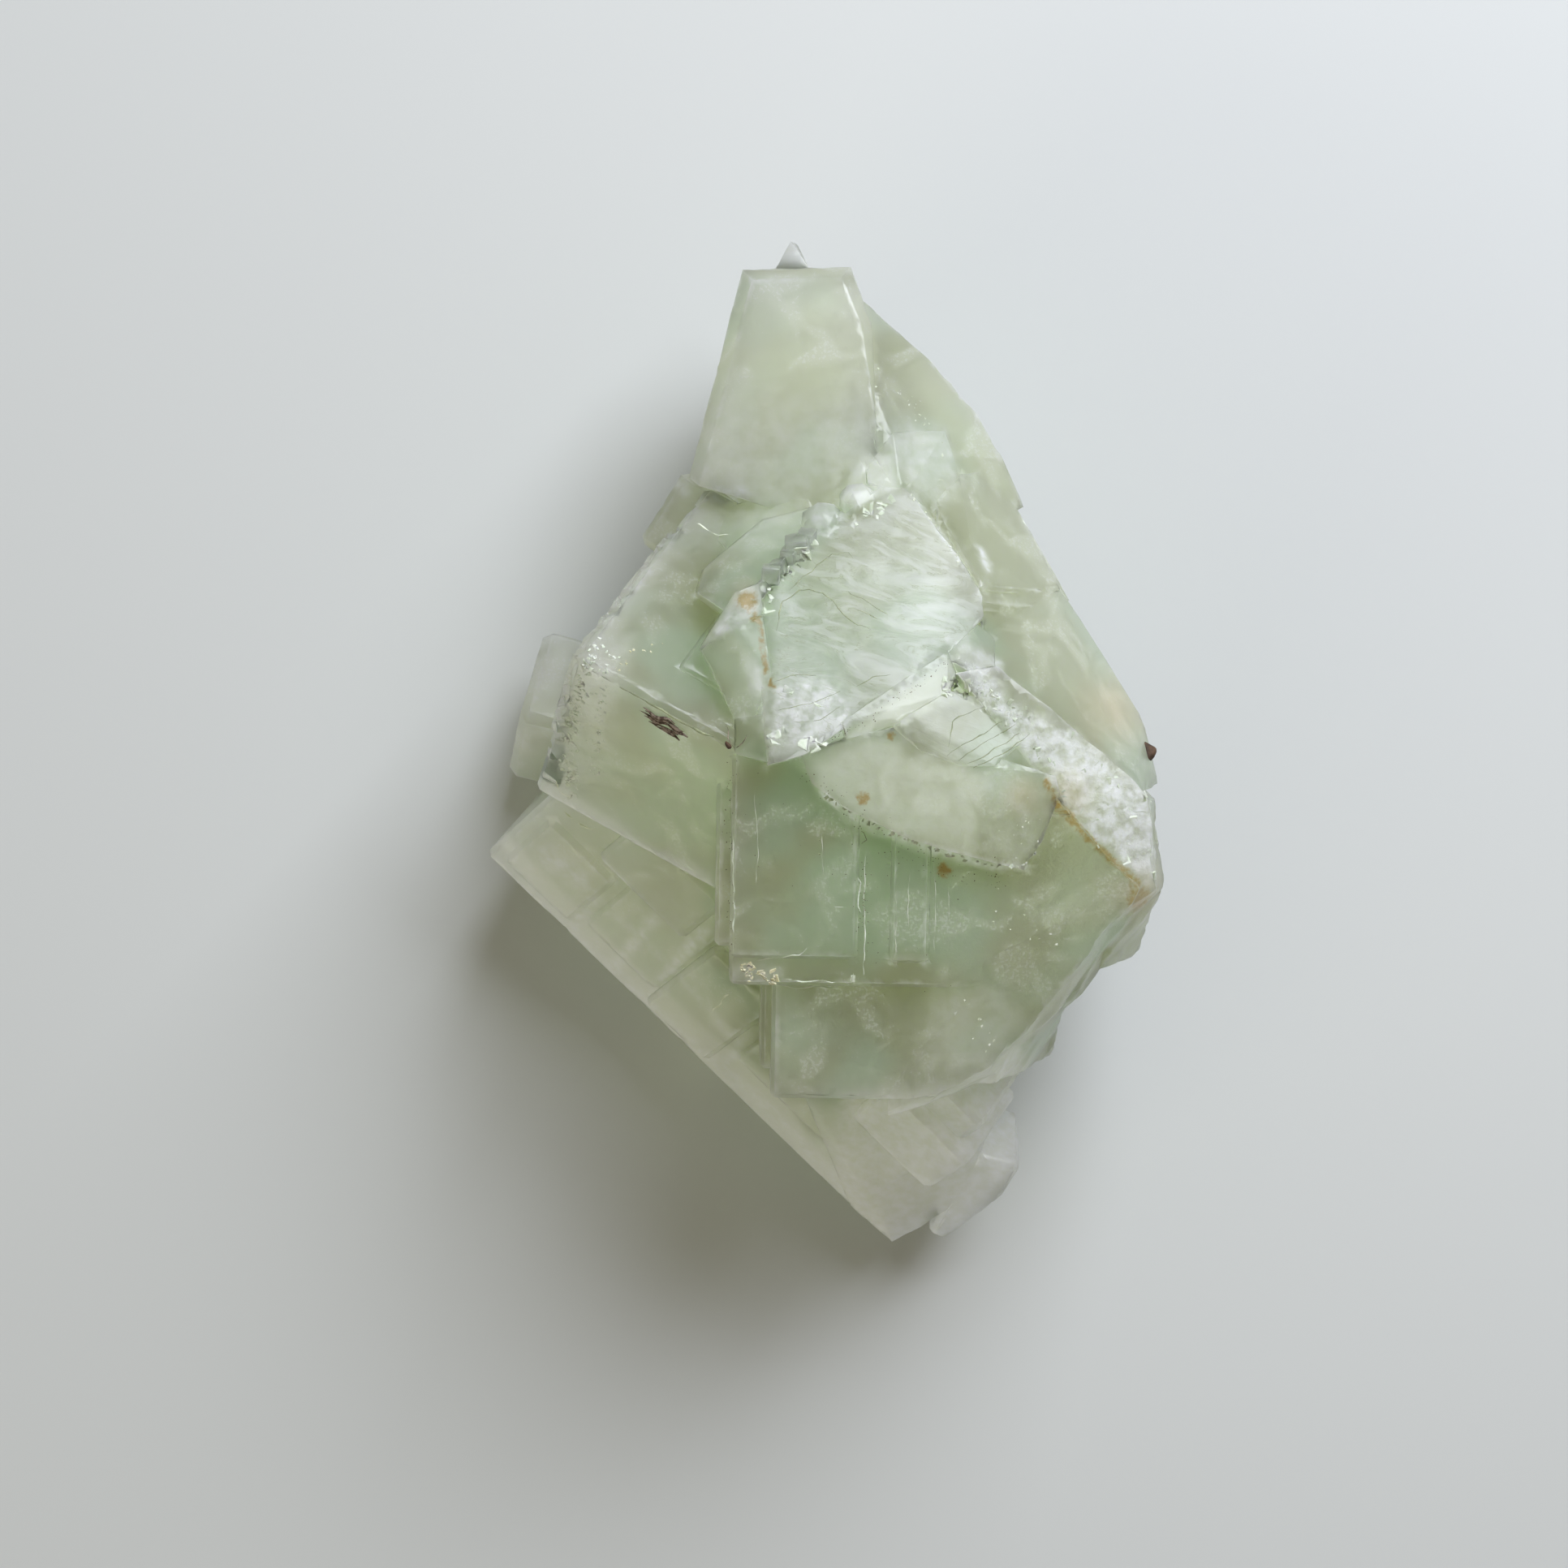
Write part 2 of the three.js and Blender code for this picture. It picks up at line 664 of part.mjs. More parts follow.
const cluster = joined([
  ridgeCube(),
  brokenFront(),
  lowerSlab(),
  backCrystal(),
  backWings(),
  crown(),
  crownFacets(),
  crownCubes(),
  frontFoot(),
  rootMass(),
])
  .subtract(undercuts())
  .add(sideCubes())
  .subtract(baseBreak());

// ---- The part -----------------------------------------------------------------------------

function geometryOf(solid) {
  const mesh = solid.getMesh();
  const geometry = new THREE.BufferGeometry();
  geometry.setAttribute("position", new THREE.BufferAttribute(mesh.vertProperties, 3));
  geometry.setIndex(new THREE.BufferAttribute(mesh.triVerts, 1));
  return geometry;
}

// The origin is under the middle of the cluster, on the plane that it stands on.
function centred(geometry) {
  geometry.computeBoundingBox();
  const middle = geometry.boundingBox.getCenter(new THREE.Vector3());
  return geometry.translate(-middle.x, -middle.y, -geometry.boundingBox.min.z);
}

const fluorite = new THREE.MeshStandardMaterial({ color: 0xb4c4aa, roughness: 0.2, metalness: 0 });
const mesh = new THREE.Mesh(centred(geometryOf(cluster)), fluorite);
mesh.name = "fluorite_cluster";

const part = new THREE.Group();
part.add(mesh);
export default part;
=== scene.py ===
# A fluorite cluster: pale green cubes grown together, hazy inside, with a silky cleaved crown.
import math
import random

import bmesh
import bpy
import numpy as np
from mathutils import Euler, Matrix, Vector, noise
from mathutils.bvhtree import BVHTree


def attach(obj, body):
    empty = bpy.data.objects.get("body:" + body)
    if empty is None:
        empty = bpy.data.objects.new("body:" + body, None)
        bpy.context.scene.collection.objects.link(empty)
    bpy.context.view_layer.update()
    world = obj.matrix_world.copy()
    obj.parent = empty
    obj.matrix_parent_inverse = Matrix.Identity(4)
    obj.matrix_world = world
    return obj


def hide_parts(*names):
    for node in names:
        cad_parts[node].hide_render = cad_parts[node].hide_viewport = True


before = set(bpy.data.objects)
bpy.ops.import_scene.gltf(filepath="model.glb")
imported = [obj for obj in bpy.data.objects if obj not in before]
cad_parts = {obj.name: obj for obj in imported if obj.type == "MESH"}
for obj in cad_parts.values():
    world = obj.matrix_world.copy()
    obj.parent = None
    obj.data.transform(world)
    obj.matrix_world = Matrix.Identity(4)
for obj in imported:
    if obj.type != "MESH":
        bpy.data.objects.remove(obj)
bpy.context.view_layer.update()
mm = 0.001
noise.seed_set(1)  # or noise_vector starts from the clock, and threads and grains bend anew each run
print("frame loaded")


def linear(hexColour):  # an sRGB hex colour as the linear one that nodes take
    parts = [int(hexColour[i:i + 2], 16) / 255 for i in (1, 3, 5)]
    return [p / 12.92 if p <= 0.04045 else ((p + 0.055) / 1.055) ** 2.4 for p in parts] + [1.0]


# The camera looks straight down, a little off the cluster's middle.
cameraPlace = {
    "over": (-1.94 * mm, -2.0 * mm),
    "height": 240 * mm,
    "lens": 85.9,
    "sensor": 36.0,
}


def makeCamera(place):
    data = bpy.data.cameras.new("camera")
    data.lens = place["lens"]
    data.sensor_width = place["sensor"]
    data.clip_start = 5 * mm
    data.clip_end = 20.0
    camera = bpy.data.objects.new("camera", data)
    camera.location = (*place["over"], place["height"])
    bpy.context.scene.collection.objects.link(camera)
    bpy.context.scene.camera = camera


makeCamera(cameraPlace)


# Materials. A setting names a property or a socket, and a link names a socket.

def addNode(material, kind, settings=None, links=None):
    node = material.node_tree.nodes.new(kind)
    for name, value in (settings or {}).items():
        if isinstance(name, str) and hasattr(node, name):
            setattr(node, name, value)
        else:
            node.inputs[name].default_value = value
    for name, source in (links or {}).items():
        if isinstance(source, bpy.types.Node):
            source = next(output for output in source.outputs if output.enabled)
        material.node_tree.links.new(source, node.inputs[name])
    return node


def newMaterial(name):  # with the object's own places in millimetres to work from
    material = bpy.data.materials.new(name)
    material.use_nodes = True
    material.node_tree.nodes.clear()
    place = addNode(material, "ShaderNodeTexCoord").outputs["Object"]
    inMm = addNode(material, "ShaderNodeVectorMath", {"operation": "SCALE", "Scale": 1 / mm}, {0: place})
    return material, inMm


fluoriteIndex = 1.434  # how strongly fluorite bends light
finishNames = ("silk", "white", "grit", "stain", "blush", "milkAndGlow")  # each is painted from 0 to 1
fluoriteLook = {
    "green": "#CDD3AD",  # the clear green body
    "teal": "#C4D6B6",  # clouds in it, where fluid inclusions gather
    "milkAndGlow": "#DFE6D1",  # veils, and painted glow where it is thin and on faces turned from the light
    "white": "#ECF2EC",  # frost, silk and crust
    "olive": "#A9AF88",  # where the silk opens and the body shows through
    "ochre": "#B9963F",  # iron stains
    "blush": "#DDBF98",  # and where they only tint it
    "cloudSize": 8,  # mm
    "clear": 0.62,  # how much light goes through the clear body
    "cloudy": 0.50,
    "veils": 0.2,
    "flecks": 0.3,
    "haze": 0.34,  # the roughness that blurs what is seen through it
    "depth": 28,  # mm that light wanders inside
    "absorption": 12,
    "seenThrough": "#DAE7C8",  # what is left of white light after some way through it
    "relief": 0.14,  # mm, how rough the grit and the ledges of the silk are
    "gloss": 0.25,  # how much of the surface is still polished
}


def fluoriteMaterial(look):
    # Fluorite, grown in a vein and broken out of it: growth faces are smooth and hazy, cleavage is
    # silky with fine ledges, and rubbed edges and crusts scatter white. The white on edges is also
    # a painted highlight.
    material, inMm = newMaterial("hazyFluorite")
    painted = {name: addNode(material, "ShaderNodeAttribute", {"attribute_name": name}).outputs["Fac"]
               for name in finishNames}
    clouds = addNode(material, "ShaderNodeTexNoise", {"Scale": 1 / look["cloudSize"], "Detail": 2.0},
                     {"Vector": inMm})
    cloudy = addNode(material, "ShaderNodeMapRange", {"interpolation_type": "SMOOTHSTEP", "From Min": 0.42,
                     "From Max": 0.62}, {"Value": clouds})
    blotches = addNode(material, "ShaderNodeTexNoise", {"Scale": 1.3, "Detail": 2.5, "Roughness": 0.6},
                       {"Vector": inMm})
    grains = addNode(material, "ShaderNodeTexNoise", {"Scale": 3.4, "Detail": 2.0, "Roughness": 0.65},
                     {"Vector": inMm})

    # Veils: feathery planes of inclusions, and flecks where they reach the surface.
    veils = addNode(material, "ShaderNodeTexNoise", {"Scale": 0.36, "Detail": 3.0, "Roughness": 0.5,
                    "Distortion": 0.9}, {"Vector": inMm})
    veil = addNode(material, "ShaderNodeMapRange", {"interpolation_type": "SMOOTHSTEP", "From Min": 0.46,
                   "From Max": 0.66, "To Max": look["veils"]}, {"Value": veils})
    specks = addNode(material, "ShaderNodeTexNoise", {"Scale": 5.5, "Detail": 1.0, "Roughness": 0.7},
                     {"Vector": inMm})
    speckLimit = addNode(material, "ShaderNodeMath", {"operation": "SUBTRACT"}, {0: specks, 1: veil})
    fleck = addNode(material, "ShaderNodeMapRange", {"From Min": 0.27, "From Max": 0.2,
                    "To Max": look["flecks"]}, {"Value": speckLimit})

    # Silk: wisps and hairlines that sweep across the crown, down to the right.
    swept = addNode(material, "ShaderNodeMapping", {"vector_type": "TEXTURE", "Scale": (3.0, 1.0, 1.4),
                    "Rotation": (0, 0, math.radians(-20))}, {"Vector": inMm})
    fibres = addNode(material, "ShaderNodeTexNoise", {"Scale": 0.8, "Detail": 5.0, "Roughness": 0.62,
                     "Distortion": 1.3}, {"Vector": swept})
    fibreTone = addNode(material, "ShaderNodeMapRange", {"interpolation_type": "SMOOTHSTEP", "From Min": 0.36,
                        "From Max": 0.68, "To Min": 0.25, "To Max": 0.65}, {"Value": fibres})
    silk = addNode(material, "ShaderNodeMath", {"operation": "MULTIPLY"}, {0: painted["silk"], 1: fibreTone})
    fromMiddle = addNode(material, "ShaderNodeMath", {"operation": "SUBTRACT", 1: 0.5}, {0: fibres})
    contour = addNode(material, "ShaderNodeMath", {"operation": "ABSOLUTE"}, {0: fromMiddle})
    hairline = addNode(material, "ShaderNodeMapRange", {"From Min": 0.002, "From Max": 0.016, "To Min": 1.0,
                       "To Max": 0.0}, {"Value": contour})

    # White: painted where the crystal is rubbed, crusted or frosted, and as painted highlights on edges
    # and painted glints, broken up by the blotches.
    breaking = addNode(material, "ShaderNodeMapRange", {"From Min": 0.35, "From Max": 0.65, "To Min": 0.35,
                       "To Max": 1.3}, {"Value": blotches})
    patchy = addNode(material, "ShaderNodeMath", {"operation": "MULTIPLY", "use_clamp": True},
                     {0: painted["white"], 1: breaking})
    dusted = addNode(material, "ShaderNodeMath", {"operation": "MAXIMUM"}, {0: patchy, 1: fleck})
    white = addNode(material, "ShaderNodeMath", {"operation": "MAXIMUM"}, {0: dusted, 1: silk})

    eaten = addNode(material, "ShaderNodeMapRange", {"From Min": 0.35, "From Max": 0.65, "To Min": 0.7,
                    "To Max": 1.2}, {"Value": grains})
    stainEdge = addNode(material, "ShaderNodeMath", {"operation": "MULTIPLY"},
                        {0: painted["stain"], 1: eaten})
    stain = addNode(material, "ShaderNodeMapRange", {"interpolation_type": "SMOOTHSTEP", "From Min": 0.35,
                    "From Max": 0.95, "To Max": 0.72}, {"Value": stainEdge})

    body = addNode(material, "ShaderNodeMix", {"data_type": "RGBA", 6: linear(look["green"]),
                   7: linear(look["teal"])}, {"Factor": cloudy})
    # milky tone: veils, and painted glow where the finishes paint it
    milkAndGlowAmount = addNode(material, "ShaderNodeMath", {"operation": "ADD", "use_clamp": True},
                         {0: painted["milkAndGlow"], 1: veil})
    milkyAndGlowing = addNode(material, "ShaderNodeMix", {"data_type": "RGBA", 7: linear(look["milkAndGlow"])},
                    {"Factor": milkAndGlowAmount, 6: body})
    broken = addNode(material, "ShaderNodeMapRange", {"From Min": 0.44, "From Max": 0.6, "To Max": 0.5},
                     {"Value": blotches})
    hairs = addNode(material, "ShaderNodeMath", {"operation": "MULTIPLY"}, {0: hairline, 1: broken})
    openSilk = addNode(material, "ShaderNodeMath", {"operation": "MULTIPLY"}, {0: hairs, 1: painted["silk"]})
    whitened = addNode(material, "ShaderNodeMix", {"data_type": "RGBA", 7: linear(look["white"])},
                       {"Factor": white, 6: milkyAndGlowing})
    grooved = addNode(material, "ShaderNodeMix", {"data_type": "RGBA", 7: linear(look["olive"])},
                      {"Factor": openSilk, 6: whitened})
    blushed = addNode(material, "ShaderNodeMix", {"data_type": "RGBA", 7: linear(look["blush"])},
                      {"Factor": painted["blush"], 6: grooved})
    colour = addNode(material, "ShaderNodeMix", {"data_type": "RGBA", 7: linear(look["ochre"])},
                     {"Factor": stain, 6: blushed})

    clear = addNode(material, "ShaderNodeMapRange", {"To Min": look["clear"], "To Max": look["cloudy"]},
                    {"Value": cloudy})
    dulled = addNode(material, "ShaderNodeMapRange", {"To Min": 1.0, "To Max": 0.35}, {"Value": white})
    veiledAndGlowing = addNode(material, "ShaderNodeMapRange", {"To Min": 1.0, "To Max": 0.3}, {"Value": milkAndGlowAmount})
    dimmed = addNode(material, "ShaderNodeMath", {"operation": "MULTIPLY"}, {0: dulled, 1: veiledAndGlowing})
    through = addNode(material, "ShaderNodeMath", {"operation": "MULTIPLY"}, {0: clear, 1: dimmed})
    rough = addNode(material, "ShaderNodeMapRange", {"To Min": look["haze"], "To Max": 0.5}, {"Value": white})

    ledges = addNode(material, "ShaderNodeMath", {"operation": "MULTIPLY"}, {0: fibres, 1: painted["silk"]})
    grit = addNode(material, "ShaderNodeMath", {"operation": "MULTIPLY"}, {0: grains, 1: painted["grit"]})
    relief = addNode(material, "ShaderNodeMath", {"operation": "MULTIPLY_ADD", 1: 0.55},
                     {0: ledges, 2: grit})
    uneven = addNode(material, "ShaderNodeBump", {"Distance": look["relief"] * mm, "Strength": 0.8},
                     {"Height": relief})
    shader = addNode(material, "ShaderNodeBsdfPrincipled", {
        "IOR": fluoriteIndex, "Subsurface Weight": 1.0, "Subsurface Scale": look["depth"] * mm,
        "Subsurface Radius": (0.95, 1.0, 0.85), "Coat Weight": look["gloss"], "Coat Roughness": 0.18,
        "Coat IOR": fluoriteIndex},
        {"Base Color": colour, "Transmission Weight": through, "Roughness": rough, "Normal": uneven})
    absorb = addNode(material, "ShaderNodeVolumeAbsorption",
                     {"Color": linear(look["seenThrough"]), "Density": look["absorption"]})
    addNode(material, "ShaderNodeOutputMaterial", links={"Surface": shader, "Volume": absorb})
    return material


grainLooks = {  # two tones, the size of the mottling in mm, roughness, mm that light wanders inside
    "rubbedFluorite": ["#E2E8DA", "#CDD7C2", 0.5, 0.5, 0.1],  # chips: bruised white, with some green left
    "paleFluorite": ["#EAEFDC", "#D2DABF", 0.5, 0.4, 0.1],  # growth steps, pale where they catch the light
    "yellowedFluorite": ["#E2DDBE", "#CBC8A4", 0.5, 0.45, 0.1],  # chips that iron has tinted
    "shadedCrack": ["#8E9678", "#AAB090", 0.4, 0.6, 0.2],  # open cracks, dark because light is lost in them
    "rockDust": ["#4A3B2B", "#7B6A50", 0.2, 0.9, 0],  # grains of dry soil
    "driedWood": ["#5C4C43", "#A29286", 0.2, 0.9, 0],  # a splinter of bark, weathered grey
    "ironGrain": ["#5B4330", "#3C2C20", 0.5, 0.75, 0],  # a grain of limonite
}


def grainMaterial(name, light, dark, size, roughness, wander):  # a plain mottled material for small grains
    material, inMm = newMaterial(name)
    mottling = addNode(material, "ShaderNodeTexNoise", {"Scale": 1 / size, "Detail": 3.0}, {"Vector": inMm})
    tone = addNode(material, "ShaderNodeMapRange", {"From Min": 0.4, "From Max": 0.6}, {"Value": mottling})
    colour = addNode(material, "ShaderNodeMix", {"data_type": "RGBA", 6: linear(light), 7: linear(dark)},
                     {"Factor": tone})
    shader = addNode(material, "ShaderNodeBsdfPrincipled", {
        "Roughness": roughness, "IOR": fluoriteIndex if wander else 1.5,
        "Subsurface Weight": 1.0 if wander else 0.0, "Subsurface Scale": max(wander, 0.05) * mm,
        "Subsurface Radius": (0.95, 1.0, 0.9)}, {"Base Color": colour})
    addNode(material, "ShaderNodeOutputMaterial", links={"Surface": shader})
    return material


grainMaterials = {name: grainMaterial(name, *look) for name, look in grainLooks.items()}


# The crystal: the solid's own faces, split finer, with worn edges and painted finishes,
# among them painted highlights on edges and glints, and painted glow.
# From here on, places are in millimetres.
crystalShape = {
    "weld": 0.001,
    "seenGrain": 0.6,  # how fine the mesh is where it is seen from above
    "hiddenGrain": 2.0,
    "wear": 0.10,  # how far rubbed edges are worn back
    "pits": 0.12,  # how deep the crust is pitted
    "rubbed": 0.6,  # how white the edges are: rubbed wear and painted highlight
    "sharp": 14,  # degrees: a fold above this is shaded as an edge, and above twice this it is worn
}
finishAreas = {  # what it paints and how strongly, how soft its edge is, and the height it starts at
    "crownCleavage": {"paints": {"silk": 1.0}, "soft": 0.3, "above": 19, "outline": [
        (-2.8, -0.4), (0.1, 0.3), (3.0, 1.9), (5.6, 3.6), (8.6, 6.0), (9.6, 8.6), (8.6, 11.0),
        (6.8, 13.5), (5.9, 15.2), (4.2, 14.9), (2.0, 13.3), (-0.1, 12.5), (-1.3, 11.2), (-2.5, 9.4),
        (-2.7, 7.6), (-2.4, 4.3)]},
    "pearlPatch": {"paints": {"white": 1.0, "grit": 0.3}, "soft": 0.4, "above": 25, "outline": [
        (-2.8, -0.4), (0.2, 0.2), (1.6, 1.0), (1.9, 2.4), (0.2, 4.0), (-2.4, 3.6)]},
    "linedCleavage": {"paints": {"silk": 0.45, "white": 0.3}, "soft": 0.25, "above": 27, "outline": [
        (4.2, 0.9), (6.4, 2.4), (8.0, 3.2), (8.8, 2.2), (10.4, 2.6), (11.1, 1.0), (12.6, -0.2),
        (10.1, -1.0), (7.8, -0.9), (5.6, -0.6)]},
    "slabFront": {"paints": {"white": 0.2, "milkAndGlow": 0.65, "grit": 0.35}, "soft": 0.7, "above": 27, "outline": [
        (-0.5, -0.6), (3.7, 0.9), (5.6, -0.6), (7.8, -0.8), (9.6, -1.6), (8.8, -6.4), (7.9, -6.2),
        (4.7, -5.0), (1.9, -3.7), (0.1, -2.3)]},
    "slabEnd": {"paints": {"white": 0.15, "milkAndGlow": 0.25, "grit": 0.35}, "soft": 0.7, "above": 27, "outline": [
        (9.0, -0.9), (10.6, -0.9), (12.6, -1.7), (13.5, -3.6), (12.3, -5.9), (11.6, -6.9), (9.0, -6.4)]},
    "shoulderCrust": {"paints": {"white": 0.85, "grit": 1.0}, "soft": 0.5, "above": 24, "outline": [
        (7.9, 5.2), (9.7, 4.6), (10.8, 2.6), (12.9, 1.6), (14.8, 0.9), (16.7, -0.8), (18.9, -2.6),
        (20.1, -5.5), (18.9, -7.8), (17.2, -6.3), (15.3, -5.0), (13.9, -3.6), (12.9, -1.7), (11.4, -0.3),
        (10.2, 1.8), (8.8, 2.6)]},
    "shoulderBreak": {"paints": {"grit": 0.5}, "soft": 1.0, "above": 21, "outline": [
        (10.3, -7.3), (12.9, -3.6), (15.3, -5.0), (18.9, -7.8), (19.6, -10.0), (16.2, -13.0),
        (11.7, -9.6)]},
    "leftFrost": {"paints": {"white": 0.25, "milkAndGlow": 0.6, "grit": 0.4}, "soft": 1.2, "above": 19, "outline": [
        (-13.6, 6.0), (-11.0, 6.2), (-11.4, 2.4), (-12.0, -0.3), (-12.8, -1.9), (-14.7, -3.0),
        (-16.0, -1.2), (-15.6, 1.1), (-14.7, 3.4)]},
    "chippedRim": {"paints": {"white": 0.8, "grit": 0.3}, "soft": 0.3, "above": 26, "outline": [
        (-6.6, 6.0), (-5.2, 7.9), (-4.4, 9.0), (-3.0, 9.2), (-3.2, 7.9), (-5.0, 6.7)]},
    "wings": {"paints": {"milkAndGlow": 0.25}, "soft": 1.6, "above": 8, "outline": [
        (4.0, 22.0), (4.4, 16.4), (8.4, 13.0), (10.4, 8.6), (13.0, 4.4), (17.0, 0.0), (22.0, -2.0),
        (22.0, 12.0), (12.0, 26.0)]},
    "wingPatch": {"paints": {"white": 0.35}, "soft": 0.8, "above": 16, "outline": [
        (3.8, 17.4), (4.6, 19.4), (7.4, 19.2), (8.6, 16.0), (7.0, 13.8)]},
    # painted glow: the foot block's face, turned from the window, is whitened
    "footBlock": {"paints": {"white": 0.7, "milkAndGlow": 0.9}, "soft": 1.2, "above": 0, "outline": [
        (1.6, -20.5), (8.0, -19.5), (12.0, -17.0), (14.0, -24.0), (6.0, -34.0), (0.0, -30.0)]},
    # veils, and painted glow on the lower slab, turned from the window
    "lowerSlabVeilsAndGlow": {"paints": {"milkAndGlow": 0.65, "white": 0.08}, "soft": 1.2, "above": 1, "outline": [
        (-21.0, -5.5), (-15.2, -1.0), (-10.5, -4.6), (-6.3, -6.4), (-6.3, -14.6), (-4.9, -15.2),
        (-4.6, -20.6), (2.5, -21.5), (3.5, -29.0), (0.0, -31.0), (-12.0, -18.0)]},
    # veils, and painted glow on the ridge's front, turned from the window
    "ridgeFrontVeilsAndGlow": {"paints": {"milkAndGlow": 0.48}, "soft": 1.5, "above": 12, "outline": [
        (-15.6, -1.5), (-12.0, 2.6), (-5.0, -0.6), (-5.4, -12.0), (-6.6, -12.0)]},
    "bladeVeils": {"paints": {"milkAndGlow": 0.5}, "soft": 1.6, "above": 12, "outline": [
        (-9.5, 13.0), (-3.0, 12.4), (1.0, 14.0), (3.6, 17.0), (3.0, 27.0), (-3.0, 28.0), (-6.0, 24.0)]},
    "leftCubes": {"paints": {"milkAndGlow": 0.5, "white": 0.05}, "soft": 1.0, "above": 0, "outline": [
        (-16.0, 12.0), (-8.0, 12.0), (-11.5, 6.6), (-15.2, -1.0), (-21.0, -1.0), (-20.0, 8.0)]},
    "darkFacet": {"paints": {"milkAndGlow": 0.2}, "soft": 0.5, "above": 24, "outline": [
        (-6.4, 5.4), (-3.4, 7.6), (-2.6, 4.0), (-2.8, 0.4), (-4.8, 1.8)]},
    # painted glow along the slab's thin rim
    "slabRim": {"paints": {"white": 0.12, "milkAndGlow": 0.9}, "soft": 0.6, "above": 2, "outline": [
        (-20.5, -5.0), (-19.5, -4.0), (-10.4, -13.4), (-2.0, -21.0), (2.6, -28.0), (0.0, -29.0),
        (-12.0, -16.0)]},
    "plateauVeils": {"paints": {"milkAndGlow": 0.2, "grit": 0.2}, "soft": 2.0, "above": 20, "outline": [
        (7.6, -6.4), (12.0, -7.4), (18.0, -9.0), (16.0, -14.5), (8.0, -19.5), (4.0, -20.0),
        (6.5, -13.0)]},
    "riserMilk": {"paints": {"milkAndGlow": 0.7, "white": 0.15}, "soft": 0.4, "above": 25, "outline": [
        (1.2, 0.6), (3.0, 1.9), (5.6, 3.6), (8.6, 6.0), (8.2, 3.6), (5.6, 1.8), (3.6, 0.9)]},
    "bladeFoot": {"paints": {"milkAndGlow": 0.2, "white": 0.22}, "soft": 2.2, "above": 12, "outline": [
        (-8.0, 12.4), (-3.0, 11.8), (1.6, 13.6), (4.2, 16.6), (3.6, 20.6), (-6.6, 20.6)]},
    "frontBreak": {"paints": {"white": 0.2, "milkAndGlow": 0.4}, "soft": 1.2, "above": 14, "outline": [
        (6.6, -13.4), (10.6, -13.4), (12.4, -15.6), (9.6, -19.4), (6.2, -18.6)]},
    "creviceMilk": {"paints": {"milkAndGlow": 0.9, "white": 0.5}, "soft": 0.5, "above": 12, "outline": [
        (6.4, 2.6), (7.8, 5.0), (9.6, 5.0), (9.4, 2.6)]},
    "lumpCrevice": {"paints": {"milkAndGlow": 0.9, "white": 0.4}, "soft": 0.5, "above": 12, "outline": [
        (1.0, 14.2), (2.6, 17.8), (4.2, 17.2), (4.8, 15.2), (2.6, 14.2)]},
    "tipVeils": {"paints": {"milkAndGlow": 0.8, "white": 0.3}, "soft": 0.4, "above": 6, "outline": [
        (-4.0, 29.2), (0.5, 29.2), (0.5, 33.0), (-4.0, 33.0)]},
}
paleBands = {  # veils and growth steps seen through, and painted highlights: a line, its half width and how strong it is
    "slabBandLeft": [[(-15.8, -11.8), (-13.7, -9.2)], 0.6, 0.6],
    "slabBandMiddle": [[(-12.6, -13.6), (-9.8, -10.2)], 0.6, 0.65],
    "slabBandRight": [[(-9.8, -14.7), (-6.8, -10.8)], 0.6, 0.7],
    "slabBandLow": [[(-5.6, -19.6), (-4.2, -17.0)], 0.5, 0.5],
    "slabRimBand": [[(-20.2, -6.6), (-9.0, -17.0), (-2.0, -22.9), (2.3, -28.0)], 0.6, 0.5],
    "crownRightEdge": [[(5.4, 15.0), (6.2, 13.9), (7.4, 12.2), (8.5, 10.2)], 0.3, 0.8],
    "slabInnerBand": [[(-15.2, -7.2), (-8.6, -13.4), (-5.2, -17.4)], 0.35, 0.4],
    # painted highlight along the slab's lower lip
    "slabLipHighlight": [[(0.2, -2.5), (1.6, -3.6), (3.4, -4.6), (5.6, -5.4), (8.0, -6.1), (10.4, -6.7), (11.9, -6.8)],
                0.25, 0.9],
    "slabBlob": [[(-16.4, -6.4), (-14.2, -7.9)], 0.9, 0.6],
    "slabTop": [[(-19.4, -5.0), (-15.4, -1.9)], 0.6, 0.35],
    "wingSpindle": [[(9.6, 11.7), (10.0, 10.5)], 0.3, 1.0],
    # painted glints: spots of light painted white
    "stepGlint": [[(-5.9, 15.2), (-4.5, 15.2)], 0.6, 0.8],
    "leftGlint": [[(-8.3, 16.2), (-7.9, 15.6)], 0.5, 0.7],
    "paleLump": [[(-0.2, 13.4), (0.3, 13.2)], 0.6, 0.6],
    "paleLumpRight": [[(1.8, 14.9), (2.2, 14.6)], 0.5, 0.6],
    # painted glint on a small bright facet at the crown's corner
    "cornerFacetGlint": [[(7.4, 6.3), (9.0, 5.4), (10.2, 4.8)], 0.5, 0.8],
    "boxBand": [[(-4.2, -12.6), (-2.6, -12.9)], 0.6, 0.5],
    "facetMottle": [[(-3.6, 4.6), (-3.1, 2.6), (-2.9, 1.4)], 0.7, 0.5],
    "slabEndFrost": [[(9.4, -1.9), (11.6, -3.4), (11.9, -5.6)], 0.5, 0.35],
}
stainSpots = {  # place and radius
    "ochrePatch": [(-4.0, 8.5), 0.8],
    "ochreBelow": [(-3.6, 7.4), 0.4],
    "slabOrange": [(2.5, -2.8), 0.5],
    "slabOrangeSmall": [(4.1, 0.7), 0.35],
    "plateauBrown": [(7.2, -6.9), 0.55],
    "rimBrown": [(18.4, -8.6), 1.0],
}
stainLines = {  # a line and its half width
    "ochreSeam": [[(-3.4, 7.7), (-3.2, 6.1), (-2.9, 4.2), (-2.5, 3.3)], 0.25],
    "brownCrevice": [[(12.9, -1.9), (13.6, -3.2), (14.9, -4.7), (16.5, -6.1), (18.1, -7.5)], 0.33],
}
